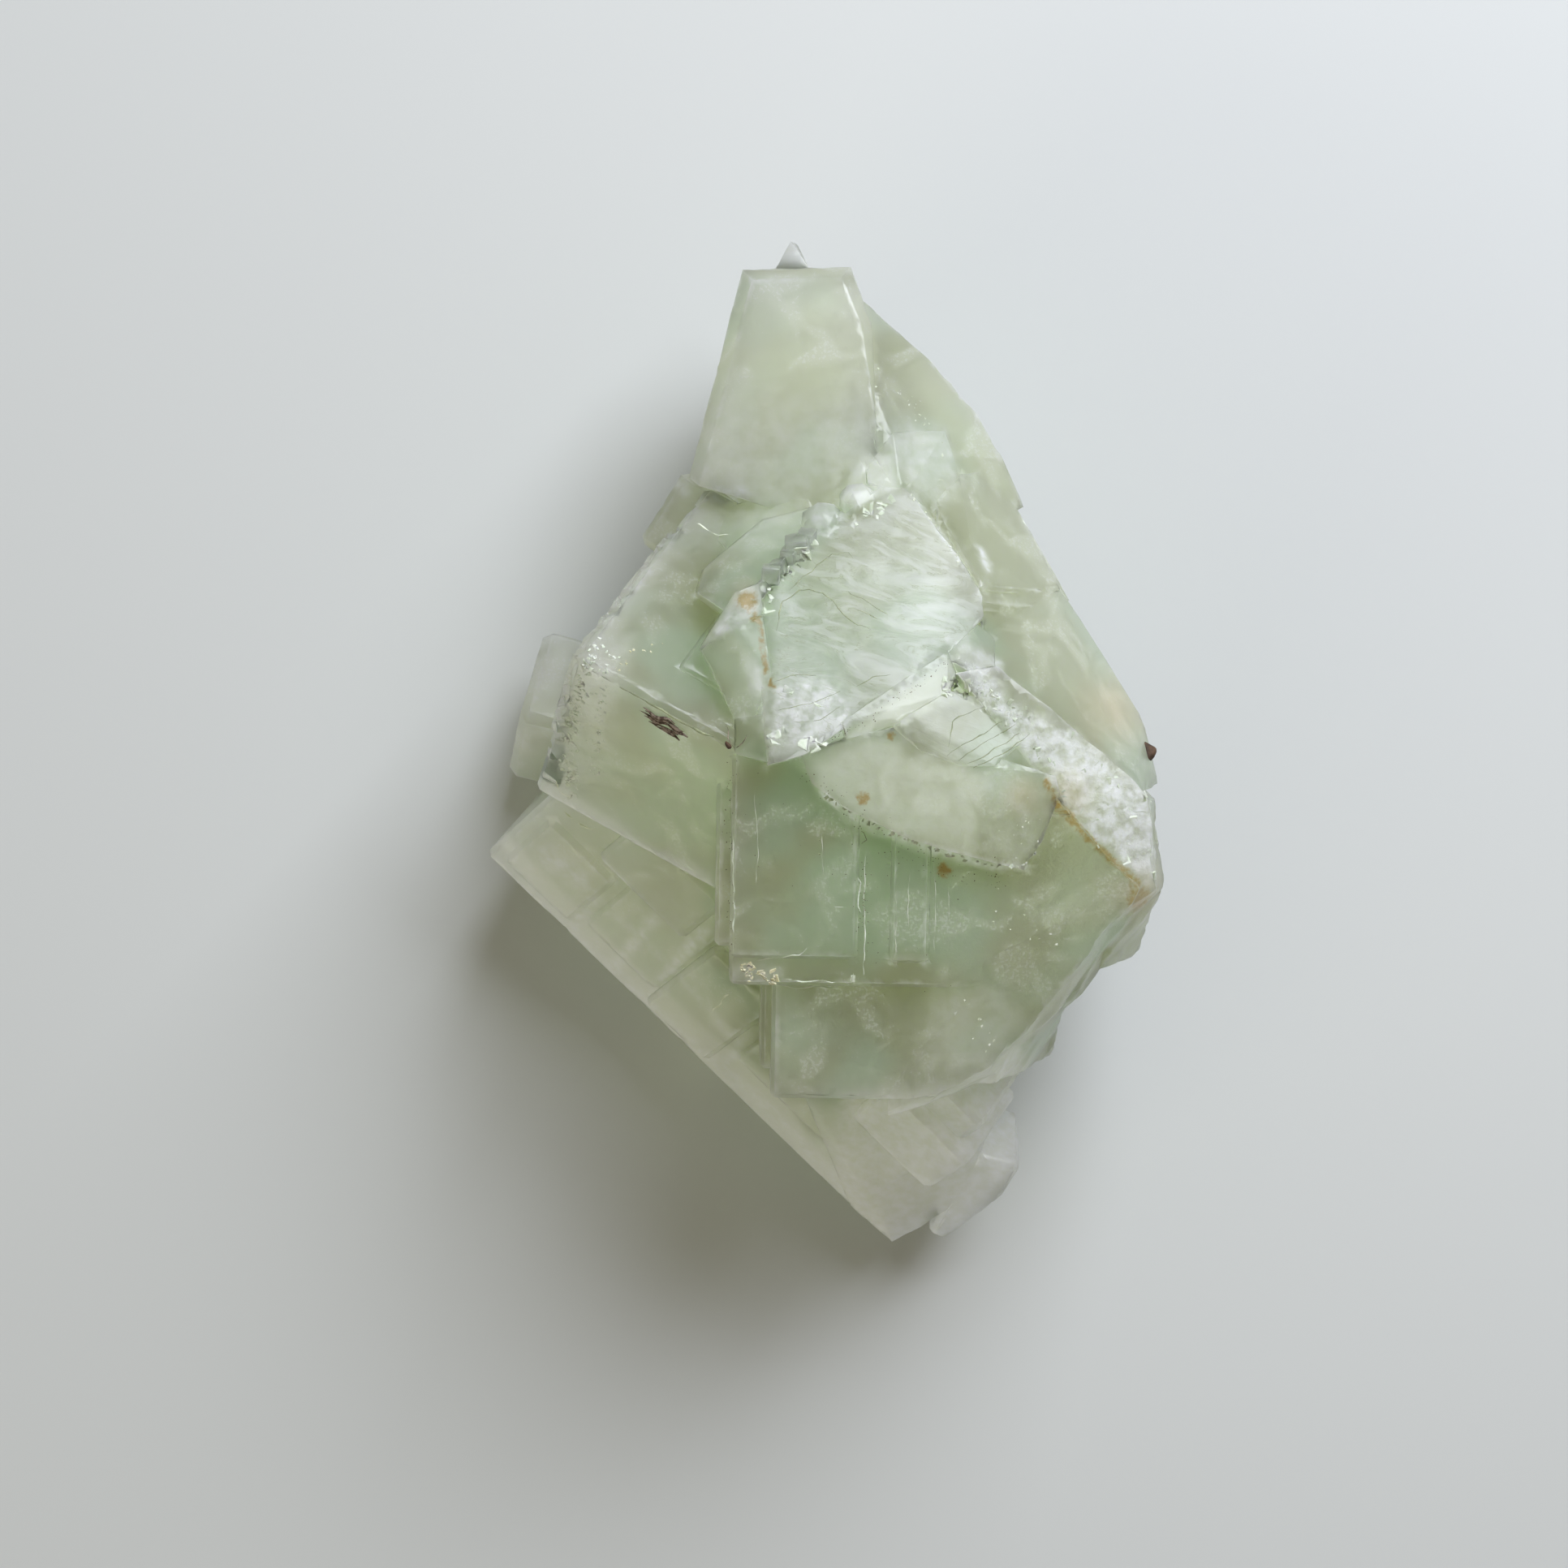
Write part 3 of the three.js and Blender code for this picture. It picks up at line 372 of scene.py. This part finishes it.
blushes = {  # tints that fade out: place, radius and how strong
    "shoulderPeach": [(17.4, 2.4), 3.6, 0.5],
    "crustTan": [(14.2, -2.6), 2.4, 0.35],
    "rimTan": [(18.6, -8.2), 2.6, 0.4],
    "slabTan": [(11.6, -2.6), 1.8, 0.3],
    "rimOlive": [(-4.2, 8.8), 1.6, 0.3],
}


def lineDistance(plan, line):  # how far each place is from a line through the given places
    nearest = np.full(len(plan), 1e9)
    for a, b in zip(line, line[1:]):
        start, run = np.array(a), np.subtract(b, a)
        share = np.clip((plan - start) @ run / (run @ run), 0, 1)
        nearest = np.minimum(nearest, np.linalg.norm(plan - start - share[:, None] * run, axis=1))
    return nearest


def insideBy(plan, outline):  # how far inside an outline each place lies, and less than 0 outside it
    inside = np.zeros(len(plan), bool)
    for (ax, ay), (bx, by) in zip(outline, outline[1:] + outline[:1]):
        crosses = (ay > plan[:, 1]) != (by > plan[:, 1])
        inside ^= crosses & (plan[:, 0] < (bx - ax) * (plan[:, 1] - ay) / ((by - ay) or 1e-9) + ax)
    nearest = lineDistance(plan, outline + outline[:1])
    return np.where(inside, nearest, -nearest)


def softStep(value, low, high):
    t = np.clip((value - low) / (high - low), 0, 1)
    return t * t * (3 - 2 * t)


def noiseAt(points, size, seed=0.0):
    shift = Vector((seed, seed * 1.7, seed * 2.3))
    return np.array([noise.noise(Vector(p) / size + shift) for p in points])


def splitLongEdges(bm, grainAt):  # halves triangles across their longest edge until none is over its grain
    waiting = list(bm.faces)
    while waiting:
        longest = set()
        for face in waiting:
            face.normal_update()
            edge = max(face.edges, key=lambda e: e.calc_length())
            if edge.calc_length() > grainAt(face):
                longest.add(edge)
        taken, picked = set(), []
        for edge in sorted(longest, key=lambda e: (-e.calc_length(), e.index)):
            if not any(face in taken for face in edge.link_faces):
                taken.update(edge.link_faces)
                picked.append(edge)
        if not picked:
            break
        made = bmesh.ops.subdivide_edges(bm, edges=picked, cuts=1, use_single_edge=True)
        halves = {face for middle in made["geom_inner"] for face in middle.link_faces}
        waiting = list(halves) + [face for face in waiting if face.is_valid and face not in halves]
        bm.edges.index_update()


def linkPiece(name, mesh, material):  # an object that rides with the cluster
    piece = bpy.data.objects.new(name, mesh)
    bpy.context.scene.collection.objects.link(piece)
    mesh.materials.append(material)
    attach(piece, "root")
    return piece


def meshPiece(name, bm, material, smooth=False):
    bmesh.ops.scale(bm, vec=(mm, mm, mm), verts=bm.verts)
    bmesh.ops.recalc_face_normals(bm, faces=bm.faces)
    mesh = bpy.data.meshes.new(name)
    bm.to_mesh(mesh)
    bm.free()
    if smooth:
        mesh.shade_smooth()
    return linkPiece(name, mesh, material)


def paintFinishes(mesh, points, normals, edge, edgeWhite):
    plan = points[:, :2]
    facing = softStep(normals[:, 2], 0.0, 0.25)
    painted = {name: np.zeros(len(points)) for name in finishNames}
    for area in finishAreas.values():
        inside = softStep(insideBy(plan, area["outline"]), -area["soft"], area["soft"])
        inside *= softStep(points[:, 2], area["above"] - 0.6, area["above"]) * facing
        for name, amount in area["paints"].items():
            painted[name] = np.maximum(painted[name], inside * amount)
    for middle, radius in stainSpots.values():
        away = np.linalg.norm(plan - np.array(middle), axis=1)
        painted["stain"] = np.maximum(painted["stain"], np.clip(1.4 - away / radius, 0, 1) * facing)
    for line, halfWidth in stainLines.values():
        across = np.clip(1.3 - lineDistance(plan, line) / halfWidth, 0, 0.9)
        painted["stain"] = np.maximum(painted["stain"], across * facing)
    for line, halfWidth, amount in paleBands.values():
        across = np.clip(1.2 - lineDistance(plan, line) / halfWidth, 0, 1)
        painted["white"] = np.maximum(painted["white"], across * amount * facing)
    for middle, radius, amount in blushes.values():
        away = np.linalg.norm(plan - np.array(middle), axis=1) / radius
        painted["blush"] = np.maximum(painted["blush"], softStep(1 - away, 0, 1) * amount)
    # edges whitened: partly rubbed wear, partly painted highlight
    rubbed = edge * np.clip(0.5 + 0.9 * noiseAt(points, 1.1, 7.0), 0, 1)
    painted["white"] = np.maximum(painted["white"], rubbed * edgeWhite)
    painted["white"] = np.clip(painted["white"], 0, 1)
    for name, values in painted.items():
        mesh.attributes.new(name, "FLOAT", "POINT").data.foreach_set("value", values.astype(np.float32))
    return painted


def makeCrystal(shape):
    bm = bmesh.new()
    bm.from_mesh(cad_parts["fluorite_cluster"].data)
    bmesh.ops.scale(bm, vec=(1 / mm,) * 3, verts=bm.verts)
    bmesh.ops.remove_doubles(bm, verts=bm.verts, dist=shape["weld"])
    bmesh.ops.recalc_face_normals(bm, faces=bm.faces)

    def grain(face):  # fine where it looks up, apart from the lowest 4 mm
        return shape["seenGrain"] if face.normal.z > 0.05 and face.verts[0].co.z > 4 else shape["hiddenGrain"]

    splitLongEdges(bm, grain)
    bm.normal_update()
    bm.verts.index_update()
    edge = np.zeros(len(bm.verts))
    for e in bm.edges:
        if len(e.link_faces) == 2 and e.is_convex and e.calc_face_angle() > math.radians(2 * shape["sharp"]):
            edge[e.verts[0].index] = edge[e.verts[1].index] = 1.0
    print("crystal faces:", len(bm.faces))
    mesh = bpy.data.meshes.new("fluorite_crystal")
    bm.to_mesh(mesh)
    bm.free()
    points = np.zeros(len(mesh.vertices) * 3)
    mesh.vertices.foreach_get("co", points)
    normals = np.zeros(len(mesh.vertices) * 3)
    mesh.vertex_normals.foreach_get("vector", normals)
    points, normals = points.reshape(-1, 3), normals.reshape(-1, 3)
    painted = paintFinishes(mesh, points, normals, edge, shape["rubbed"])
    inward = edge * np.clip(0.5 + noiseAt(points, 0.9), 0, 1) * shape["wear"]
    inward += painted["grit"] * np.clip(0.5 + 1.2 * noiseAt(points, 0.7, 4.0), 0, 1) * shape["pits"]
    points -= normals * inward[:, None]
    mesh.vertices.foreach_set("co", points.ravel() * mm)
    mesh.update()
    mesh.shade_smooth()
    mesh.set_sharp_from_angle(angle=math.radians(shape["sharp"]))
    piece = linkPiece("fluorite_crystal", mesh, fluoriteMaterial(fluoriteLook))
    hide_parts("fluorite_cluster")
    return BVHTree.FromPolygons([Vector(p) for p in points], [list(p.vertices) for p in mesh.polygons])


crystalTree = makeCrystal(crystalShape)
print("crystal made")


def surfaceUnder(x, y):  # the place and normal of the crystal seen from above at x, y, or None twice
    place, normal, index, distance = crystalTree.ray_cast(Vector((x, y, 60)), Vector((0, 0, -1)))
    return place, normal


# Lines: growth steps that catch the light, cracks that lose it, painted shade along a ridge's step,
# and splinters and fibres of dirt.
lineKinds = {
    "growthLines": {"radius": 0.06, "waver": 0.07, "sunk": 0.4, "material": "rubbedFluorite", "lines": [
        [(-4.7, -0.8), (-5.0, -3.6), (-4.8, -6.3), (-4.8, -10.5), (-5.6, -12.1)],
        [(2.7, -5.9), (2.6, -8.2), (2.7, -10.5), (2.6, -13.4)],
        [(1.9, -6.7), (2.4, -7.6), (2.3, -9.0), (2.5, -9.5)],
        [(0.6, -8.6), (1.0, -9.0), (1.7, -9.1)],
        [(1.5, -9.8), (2.1, -9.8), (2.5, -10.1)],
        [(-4.8, -14.3), (-2.2, -13.6), (1.5, -13.7)],
        [(-2.1, -13.2), (1.4, -13.3)],
        [(-3.8, -12.0), (-2.4, -11.9), (-1.1, -11.7), (-0.4, -11.2)]]},
    "striations": {"radius": 0.025, "waver": 0.05, "sunk": 0.4, "material": "paleFluorite", "lines": [
        [(4.5, -7.5), (4.4, -9.6), (4.5, -12.4)],
        [(5.2, -7.0), (5.1, -9.0), (5.2, -10.8)],
        [(6.6, -6.3), (6.7, -9.1), (6.6, -11.9)],
        [(7.4, -7.8), (7.5, -10.1)],
        [(-3.6, -2.4), (-3.4, -5.8), (-3.5, -7.9)],
        [(0.2, -4.6), (0.3, -7.4)]]},
    "paleStreaks": {"radius": 0.1, "waver": 0.12, "sunk": 0.5, "material": "paleFluorite", "lines": [
        [(-15.6, -1.6), (-15.2, -2.4), (-14.0, -3.1)],
        [(-15.5, -3.6), (-14.4, -4.3), (-13.1, -4.9)],
        [(-12.2, -4.5), (-11.1, -5.4)],
        [(-6.8, -16.6), (-4.9, -14.2)],
        [(-7.5, 13.6), (-4.9, 12.4)]]},
    "cracks": {"radius": 0.038, "waver": 0.09, "sunk": 0.2, "material": "shadedCrack", "lines": [
        [(-2.4, 6.8), (-2.3, 7.8), (-2.0, 8.5), (-1.1, 9.1), (-0.4, 9.1), (0.3, 8.9), (1.0, 8.3), (1.5, 7.6),
         (2.2, 7.0), (3.0, 6.8)],
        [(-1.7, 9.1), (-0.8, 9.9), (-0.1, 10.5), (0.8, 11.3), (1.8, 11.3), (2.0, 10.9)],
        [(1.7, 9.1), (2.4, 8.6), (3.3, 8.1), (4.0, 7.7)],
        [(2.0, 8.1), (2.8, 7.7), (3.6, 7.3)],
        [(-2.4, 3.8), (-1.1, 4.2), (-0.1, 4.3)],
        [(-2.2, 2.2), (-0.4, 2.5), (1.2, 3.3)],
        [(-1.5, 1.5), (0.1, 1.7), (1.4, 2.4)],
        [(2.1, 3.6), (3.1, 4.0), (4.2, 4.3)],
        [(7.2, -0.4), (8.9, 0.6), (10.6, 1.7)],
        [(7.6, -0.8), (9.4, 0.3), (11.1, 1.4)],
        [(8.3, -0.9), (10.0, 0.0), (11.6, 1.0)],
        [(8.8, -1.1), (10.4, -0.2), (12.0, 0.8)],
        [(7.3, 0.1), (7.5, 1.5), (8.3, 1.9), (9.5, 2.4)]]},
    "barkSplinter": {"radius": 0.10, "waver": 0.10, "sunk": -0.8,
                     "material": "driedWood", "dirt": True, "lines": [
        [(-10.2, 2.2), (-9.2, 1.6), (-8.2, 1.2)],
        [(-9.9, 2.3), (-8.8, 1.7), (-7.6, 1.0)],
        [(-9.9, 1.9), (-8.9, 1.3), (-8.0, 0.8)],
        [(-9.6, 2.0), (-8.5, 1.5), (-7.9, 1.3)],
        [(-9.7, 1.6), (-8.8, 1.1), (-8.2, 0.6)],
        [(-9.3, 1.9), (-8.3, 1.2), (-7.3, 0.7)],
        [(-9.1, 1.4), (-8.4, 0.9), (-7.9, 0.4)],
        [(-9.8, 2.1), (-9.0, 1.9), (-8.1, 1.5)]]},
    # painted shade: a dark line along the ridge's step
    "ridgeEdge": {"radius": 0.08, "waver": 0.04, "sunk": 0.3, "material": "shadedCrack", "lines": [
        [(-11.4, 3.6), (-9.6, 2.6), (-7.6, 1.4), (-5.6, 0.5)]]},
    "curledFibres": {"radius": 0.03, "waver": 0.15, "sunk": -0.8,
                     "material": "driedWood", "dirt": True, "lines": [
        [(2.3, -4.6), (2.6, -4.8), (2.7, -5.2), (2.4, -5.5)],
        [(2.5, -5.1), (2.9, -5.3)],
        [(-5.2, 1.4), (-5.0, 0.6), (-4.7, 0.1)],
        [(-4.7, -0.1), (-4.3, 0.2), (-4.2, 0.7)]]},
}


def pointsAlong(line, step):  # even places along a line
    points = []
    for a, b in zip(line, line[1:]):
        count = max(1, round(math.dist(a, b) / step))
        points += [(a[0] + (b[0] - a[0]) * i / count, a[1] + (b[1] - a[1]) * i / count) for i in range(count)]
    return points + [line[-1]]


def makeLines(name, kind):  # threads half sunk in the surface, thinning to their ends
    curve = bpy.data.curves.new(name, "CURVE")
    curve.dimensions = "3D"
    curve.bevel_depth = kind["radius"] * mm
    curve.bevel_resolution = 1
    curve.use_fill_caps = True
    for line in kind["lines"]:
        strands, last = [[]], None
        for x, y in pointsAlong(line, 0.3):
            sway = noise.noise_vector(Vector((x, y, kind["radius"] * 90)) * 1.4) * kind["waver"] * 2
            place, normal = surfaceUnder(x + sway.x, y + sway.y)
            if place is None or (last is not None and abs(place.z - last) > 0.8):
                strands.append([])
            last = place.z if place else None
            if place:
                strands[-1].append((place - normal * kind["radius"] * kind["sunk"]) * mm)
        for strand in strands:
            if len(strand) < 3:
                continue
            spline = curve.splines.new("POLY")
            spline.points.add(len(strand) - 1)
            for i, (point, place) in enumerate(zip(spline.points, strand)):
                point.co = (*place, 1)
                uneven = 0.75 + 0.7 * noise.noise(Vector(place) / mm * 1.7)
                point.radius = uneven * min(1.0, 0.3 + 0.35 * min(i, len(strand) - 1 - i))
    shaper = bpy.data.objects.new(name + "Shaper", curve)
    mesh = bpy.data.meshes.new_from_object(shaper)
    bpy.data.objects.remove(shaper)
    mesh.name = name
    mesh.materials.clear()
    mesh.shade_smooth()
    piece = linkPiece(name, mesh, grainMaterials[kind["material"]])


for name, kind in lineKinds.items():
    makeLines(name, kind)
print("lines laid")


# Chips: splinters and grains of fluorite that stick out of the crust, the frost and the rims.
offSquare = 0.13  # how far a chip's corners are out, as a share of its length
chipAreas = {  # how many, sizes, material and where: an outline, or a line with a width
    "crustGrains": {"count": 60, "size": (0.2, 0.7), "sunk": 0.28, "flat": 0.5,
                    "material": "rubbedFluorite",
                    "outline": finishAreas["shoulderCrust"]["outline"]},
    "crownEdgeChips": {"count": 24, "size": (0.3, 0.9), "sunk": 0.2, "flat": 0.5,
                       "material": "rubbedFluorite", "width": 0.35,
                       "line": [(-3.0, 7.5), (-2.6, 9.0), (-1.3, 10.6), (0.1, 11.9), (2.0, 12.9),
                                (4.2, 14.5)]},
    "frostRows": {"count": 190, "size": (0.1, 0.36), "sunk": 0.2,
                  "material": "rubbedFluorite", "width": 0.5,
                  "line": [(-12.6, 5.9), (-13.4, 3.9), (-14.2, 1.6), (-14.5, -0.6), (-14.3, -2.6)]},
    "frostInner": {"count": 70, "size": (0.1, 0.28), "sunk": 0.2,
                   "material": "rubbedFluorite", "width": 0.4,
                   "line": [(-11.8, 5.2), (-12.4, 2.8), (-12.7, 0.4), (-12.8, -1.6)]},
    "slabRimChips": {"count": 60, "size": (0.1, 0.3), "sunk": 0.25,
                     "material": "rubbedFluorite", "width": 0.15,
                     "line": [(0.0, -2.3), (1.9, -3.7), (4.7, -5.0), (7.9, -6.2), (11.4, -6.8),
                              (12.3, -5.9)]},
    "linedEndChips": {"count": 40, "size": (0.12, 0.4), "sunk": 0.2, "flat": 0.5,
                      "material": "rubbedFluorite", "width": 0.7,
                      "line": [(9.0, 3.4), (10.8, 2.4), (11.8, 0.7), (12.8, -0.6)]},
    "pearlFlakes": {"count": 8, "size": (0.5, 1.2), "sunk": 0.17, "flat": 0.14,
                    "material": "rubbedFluorite",
                    "outline": finishAreas["pearlPatch"]["outline"]},
    "yellowChips": {"count": 34, "size": (0.18, 0.45), "sunk": 0.3,
                    "material": "yellowedFluorite", "width": 0.5,
                    "line": [(-4.3, -12.4), (-3.4, -13.0), (-2.4, -13.3)]},
    "crownRightChips": {"count": 26, "size": (0.08, 0.24), "sunk": 0.2,
                        "material": "paleFluorite", "width": 0.15,
                        "line": [(5.4, 15.0), (6.2, 13.9), (7.4, 12.2), (8.5, 10.2)]},
    "wingFlecks": {"count": 26, "size": (0.08, 0.2), "sunk": 0.3, "material": "paleFluorite", "width": 0.8,
                   "line": [(3.6, 22.4), (5.0, 21.0), (6.4, 19.8), (7.4, 16.8)]},
    "plateauFlecks": {"count": 16, "size": (0.08, 0.2), "sunk": 0.3,
                      "material": "paleFluorite", "width": 1.4,
                      "line": [(10.7, -9.1), (12.0, -10.4), (13.1, -11.5)]},
    "breakFlecks": {"count": 12, "size": (0.08, 0.24), "sunk": 0.3,
                    "material": "paleFluorite", "width": 1.0,
                    "line": [(8.5, -15.2), (9.4, -16.6), (10.0, -17.7)]},
    "slabEndFlecks": {"count": 26, "size": (0.06, 0.18), "sunk": 0.3,
                      "material": "paleFluorite", "width": 1.0,
                      "line": [(9.6, -2.4), (11.2, -3.4), (11.9, -5.4)]},
    "cornerChips": {"count": 20, "size": (0.2, 0.55), "sunk": 0.1, "flat": 0.5,
                    "material": "rubbedFluorite", "width": 0.8,
                    "line": [(7.5, 3.5), (8.2, 3.9)]},
    "panelPrism": {"count": 2, "size": (0.4, 0.5), "sunk": 0.0, "material": "rubbedFluorite", "width": 0.1,
                   "line": [(1.8, -13.1), (2.0, -13.1)]},
    "rimYellow": {"count": 12, "size": (0.1, 0.26), "sunk": 0.3,
                  "material": "yellowedFluorite", "width": 0.5,
                  "line": [(-9.4, 6.0), (-10.6, 5.4), (-11.4, 4.4)]},
}


def placesIn(area, dice):  # random places in an outline, or beside a line
    if "outline" in area:
        low, high = np.min(area["outline"], axis=0), np.max(area["outline"], axis=0)
        while True:
            spot = np.array([[dice.uniform(low[0], high[0]), dice.uniform(low[1], high[1])]])
            if insideBy(spot, area["outline"])[0] > 0:
                yield spot[0]
    points = pointsAlong(area["line"], 0.1)
    while True:
        x, y = dice.choice(points)
        yield x + dice.gauss(0, 0.5) * area["width"], y + dice.gauss(0, 0.5) * area["width"]


def makeChips(name, area):
    dice = random.Random(name)
    bm = bmesh.new()
    for _, (x, y) in zip(range(area["count"]), placesIn(area, dice)):
        place, normal = surfaceUnder(x, y)
        if place is None or normal.z < 0.1:
            continue
        length = dice.uniform(*area["size"]) * dice.uniform(0.6, 1.0)
        flat = area.get("flat", 1.0)
        shape = Matrix.Diagonal((length, length * dice.uniform(0.4, 0.9),
                                 length * dice.uniform(0.25, 0.5) * flat, 1))
        tilt = Euler((dice.gauss(0, 0.3) * flat, dice.gauss(0, 0.3) * flat, dice.uniform(0, math.tau)))
        stand = normal.to_track_quat("Z", "Y").to_matrix().to_4x4()
        sunk = Matrix.Translation(place - normal * length * (area["sunk"] - 0.15))
        made = bmesh.ops.create_cube(bm, size=1, matrix=sunk @ stand @ tilt.to_matrix().to_4x4() @ shape)
        for vert in made["verts"]:  # no chip breaks off square
            vert.co += Vector((dice.gauss(0, 1), dice.gauss(0, 1), 0)) * length * offSquare
    meshPiece(name, bm, grainMaterials[area["material"]])


for name, area in chipAreas.items():
    makeChips(name, area)
print("chips set")


# Dirt: dust under the slab and along the growth lines, a crumb and a grain.
dustLines = {  # how many and a width
    "underSlab": [100, 0.9, [(-0.4, -1.7), (2.4, -4.2), (5.2, -6.1), (7.9, -7.4), (11.4, -7.4)]],
    "growthLine": [70, 0.35, [(-4.9, -0.6), (-5.1, -5.0), (-4.9, -11.6)]],
    "secondLine": [40, 0.5, [(2.6, -6.0), (2.6, -12.0)]],
    "overPlateau": [44, 3.0, [(-3.0, -3.0), (4.0, -10.0), (9.0, -13.0)]],
    "riserSeam": [70, 0.25, [(0.3, 0.2), (3.0, 1.8), (5.6, 3.5), (7.4, 5.0)]],
}
dustSizes = (0.025, 0.085)
crumb = {"over": (-5.1, 0.2), "lift": 0.1, "size": 0.5}
brownGrain = {"level": (-0.2, 20), "outermost": 19.2, "size": 1.6}  # it clings to the wing's edge


def addGrain(bm, place, size, dice, finer=1):
    shape = Matrix.Diagonal((size, size * dice.uniform(0.5, 0.9), size * dice.uniform(0.4, 0.8), 1))
    spin = Matrix.Rotation(dice.uniform(0, math.tau), 4, "Z")
    matrix = Matrix.Translation(place) @ spin @ shape
    made = bmesh.ops.create_icosphere(bm, subdivisions=finer, radius=0.5, matrix=matrix)
    for vert in made["verts"]:
        vert.co += noise.noise_vector(vert.co * 2.2 / size) * size * 0.16


def makeDust():
    dice = random.Random(5)
    bm = bmesh.new()
    for count, width, line in dustLines.values():
        for _, (x, y) in zip(range(count), placesIn({"line": line, "width": width}, dice)):
            place, normal = surfaceUnder(x, y)
            if place:
                addGrain(bm, place, dice.uniform(*dustSizes), dice)
    meshPiece("rockDust", bm, grainMaterials["rockDust"])


def makeGrains():
    dice = random.Random(3)
    bm = bmesh.new()
    place, normal = surfaceUnder(*crumb["over"])
    addGrain(bm, place + Vector((0, 0, crumb["lift"])), crumb["size"], dice, 2)
    fromRight = Vector((60, *brownGrain["level"]))
    side, normal, index, distance = crystalTree.ray_cast(fromRight, Vector((-1, 0, 0)))
    addGrain(bm, Vector((min(side.x, brownGrain["outermost"]), side.y, side.z)), brownGrain["size"], dice, 3)
    meshPiece("ironGrains", bm, grainMaterials["ironGrain"], smooth=True)


makeDust()
makeGrains()
print("dirt added")


# A pale floor, the light of a window high on the right, and a wall that throws some of it back.
floorLook = {"colour": "#D6D8D9", "roughness": 0.7, "size": 2.0}
studioLights = {  # angles in degrees, distance and size in metres
    "window": {"azimuth": 60, "elevation": 44, "distance": 0.37, "size": 0.22, "watts": 1.70,
               "colour": "#EFF4FB"},
    "wall": {"azimuth": 224, "elevation": 13, "distance": 0.6, "size": 0.45, "watts": 1.4,
             "colour": "#F6F3DA"},
}
roomGlow = {"colour": "#F3E9D2", "strength": 0.2}


def makeFloor(look):
    bm = bmesh.new()
    bmesh.ops.create_grid(bm, x_segments=1, y_segments=1, size=look["size"])
    material, inMm = newMaterial("paleStone")
    shader = addNode(material, "ShaderNodeBsdfPrincipled",
                     {"Base Color": linear(look["colour"]), "Roughness": look["roughness"]})
    addNode(material, "ShaderNodeOutputMaterial", links={"Surface": shader})
    mesh = bpy.data.meshes.new("floor")
    bm.to_mesh(mesh)
    bm.free()
    mesh.materials.append(material)
    floor = bpy.data.objects.new("floor", mesh)
    bpy.context.scene.collection.objects.link(floor)


def addLight(name, azimuth, elevation, distance, size, watts, colour):
    data = bpy.data.lights.new(name, "AREA")
    data.size = size
    data.energy = watts
    data.color = linear(colour)[:3]
    light = bpy.data.objects.new(name, data)
    a, e = math.radians(azimuth), math.radians(elevation)
    away = Vector((math.cos(a) * math.cos(e), math.sin(a) * math.cos(e), math.sin(e)))
    light.location = away * distance
    light.rotation_euler = away.to_track_quat("Z", "Y").to_euler()
    bpy.context.scene.collection.objects.link(light)


makeFloor(floorLook)
for name, light in studioLights.items():
    addLight(name, **light)
world = bpy.data.worlds.new("room")
bpy.context.scene.world = world
world.use_nodes = True
glow = world.node_tree.nodes["Background"].inputs
glow["Color"].default_value = linear(roomGlow["colour"])
glow["Strength"].default_value = roomGlow["strength"]
bpy.context.scene.view_settings.view_transform = "Standard"
print("scene ready")
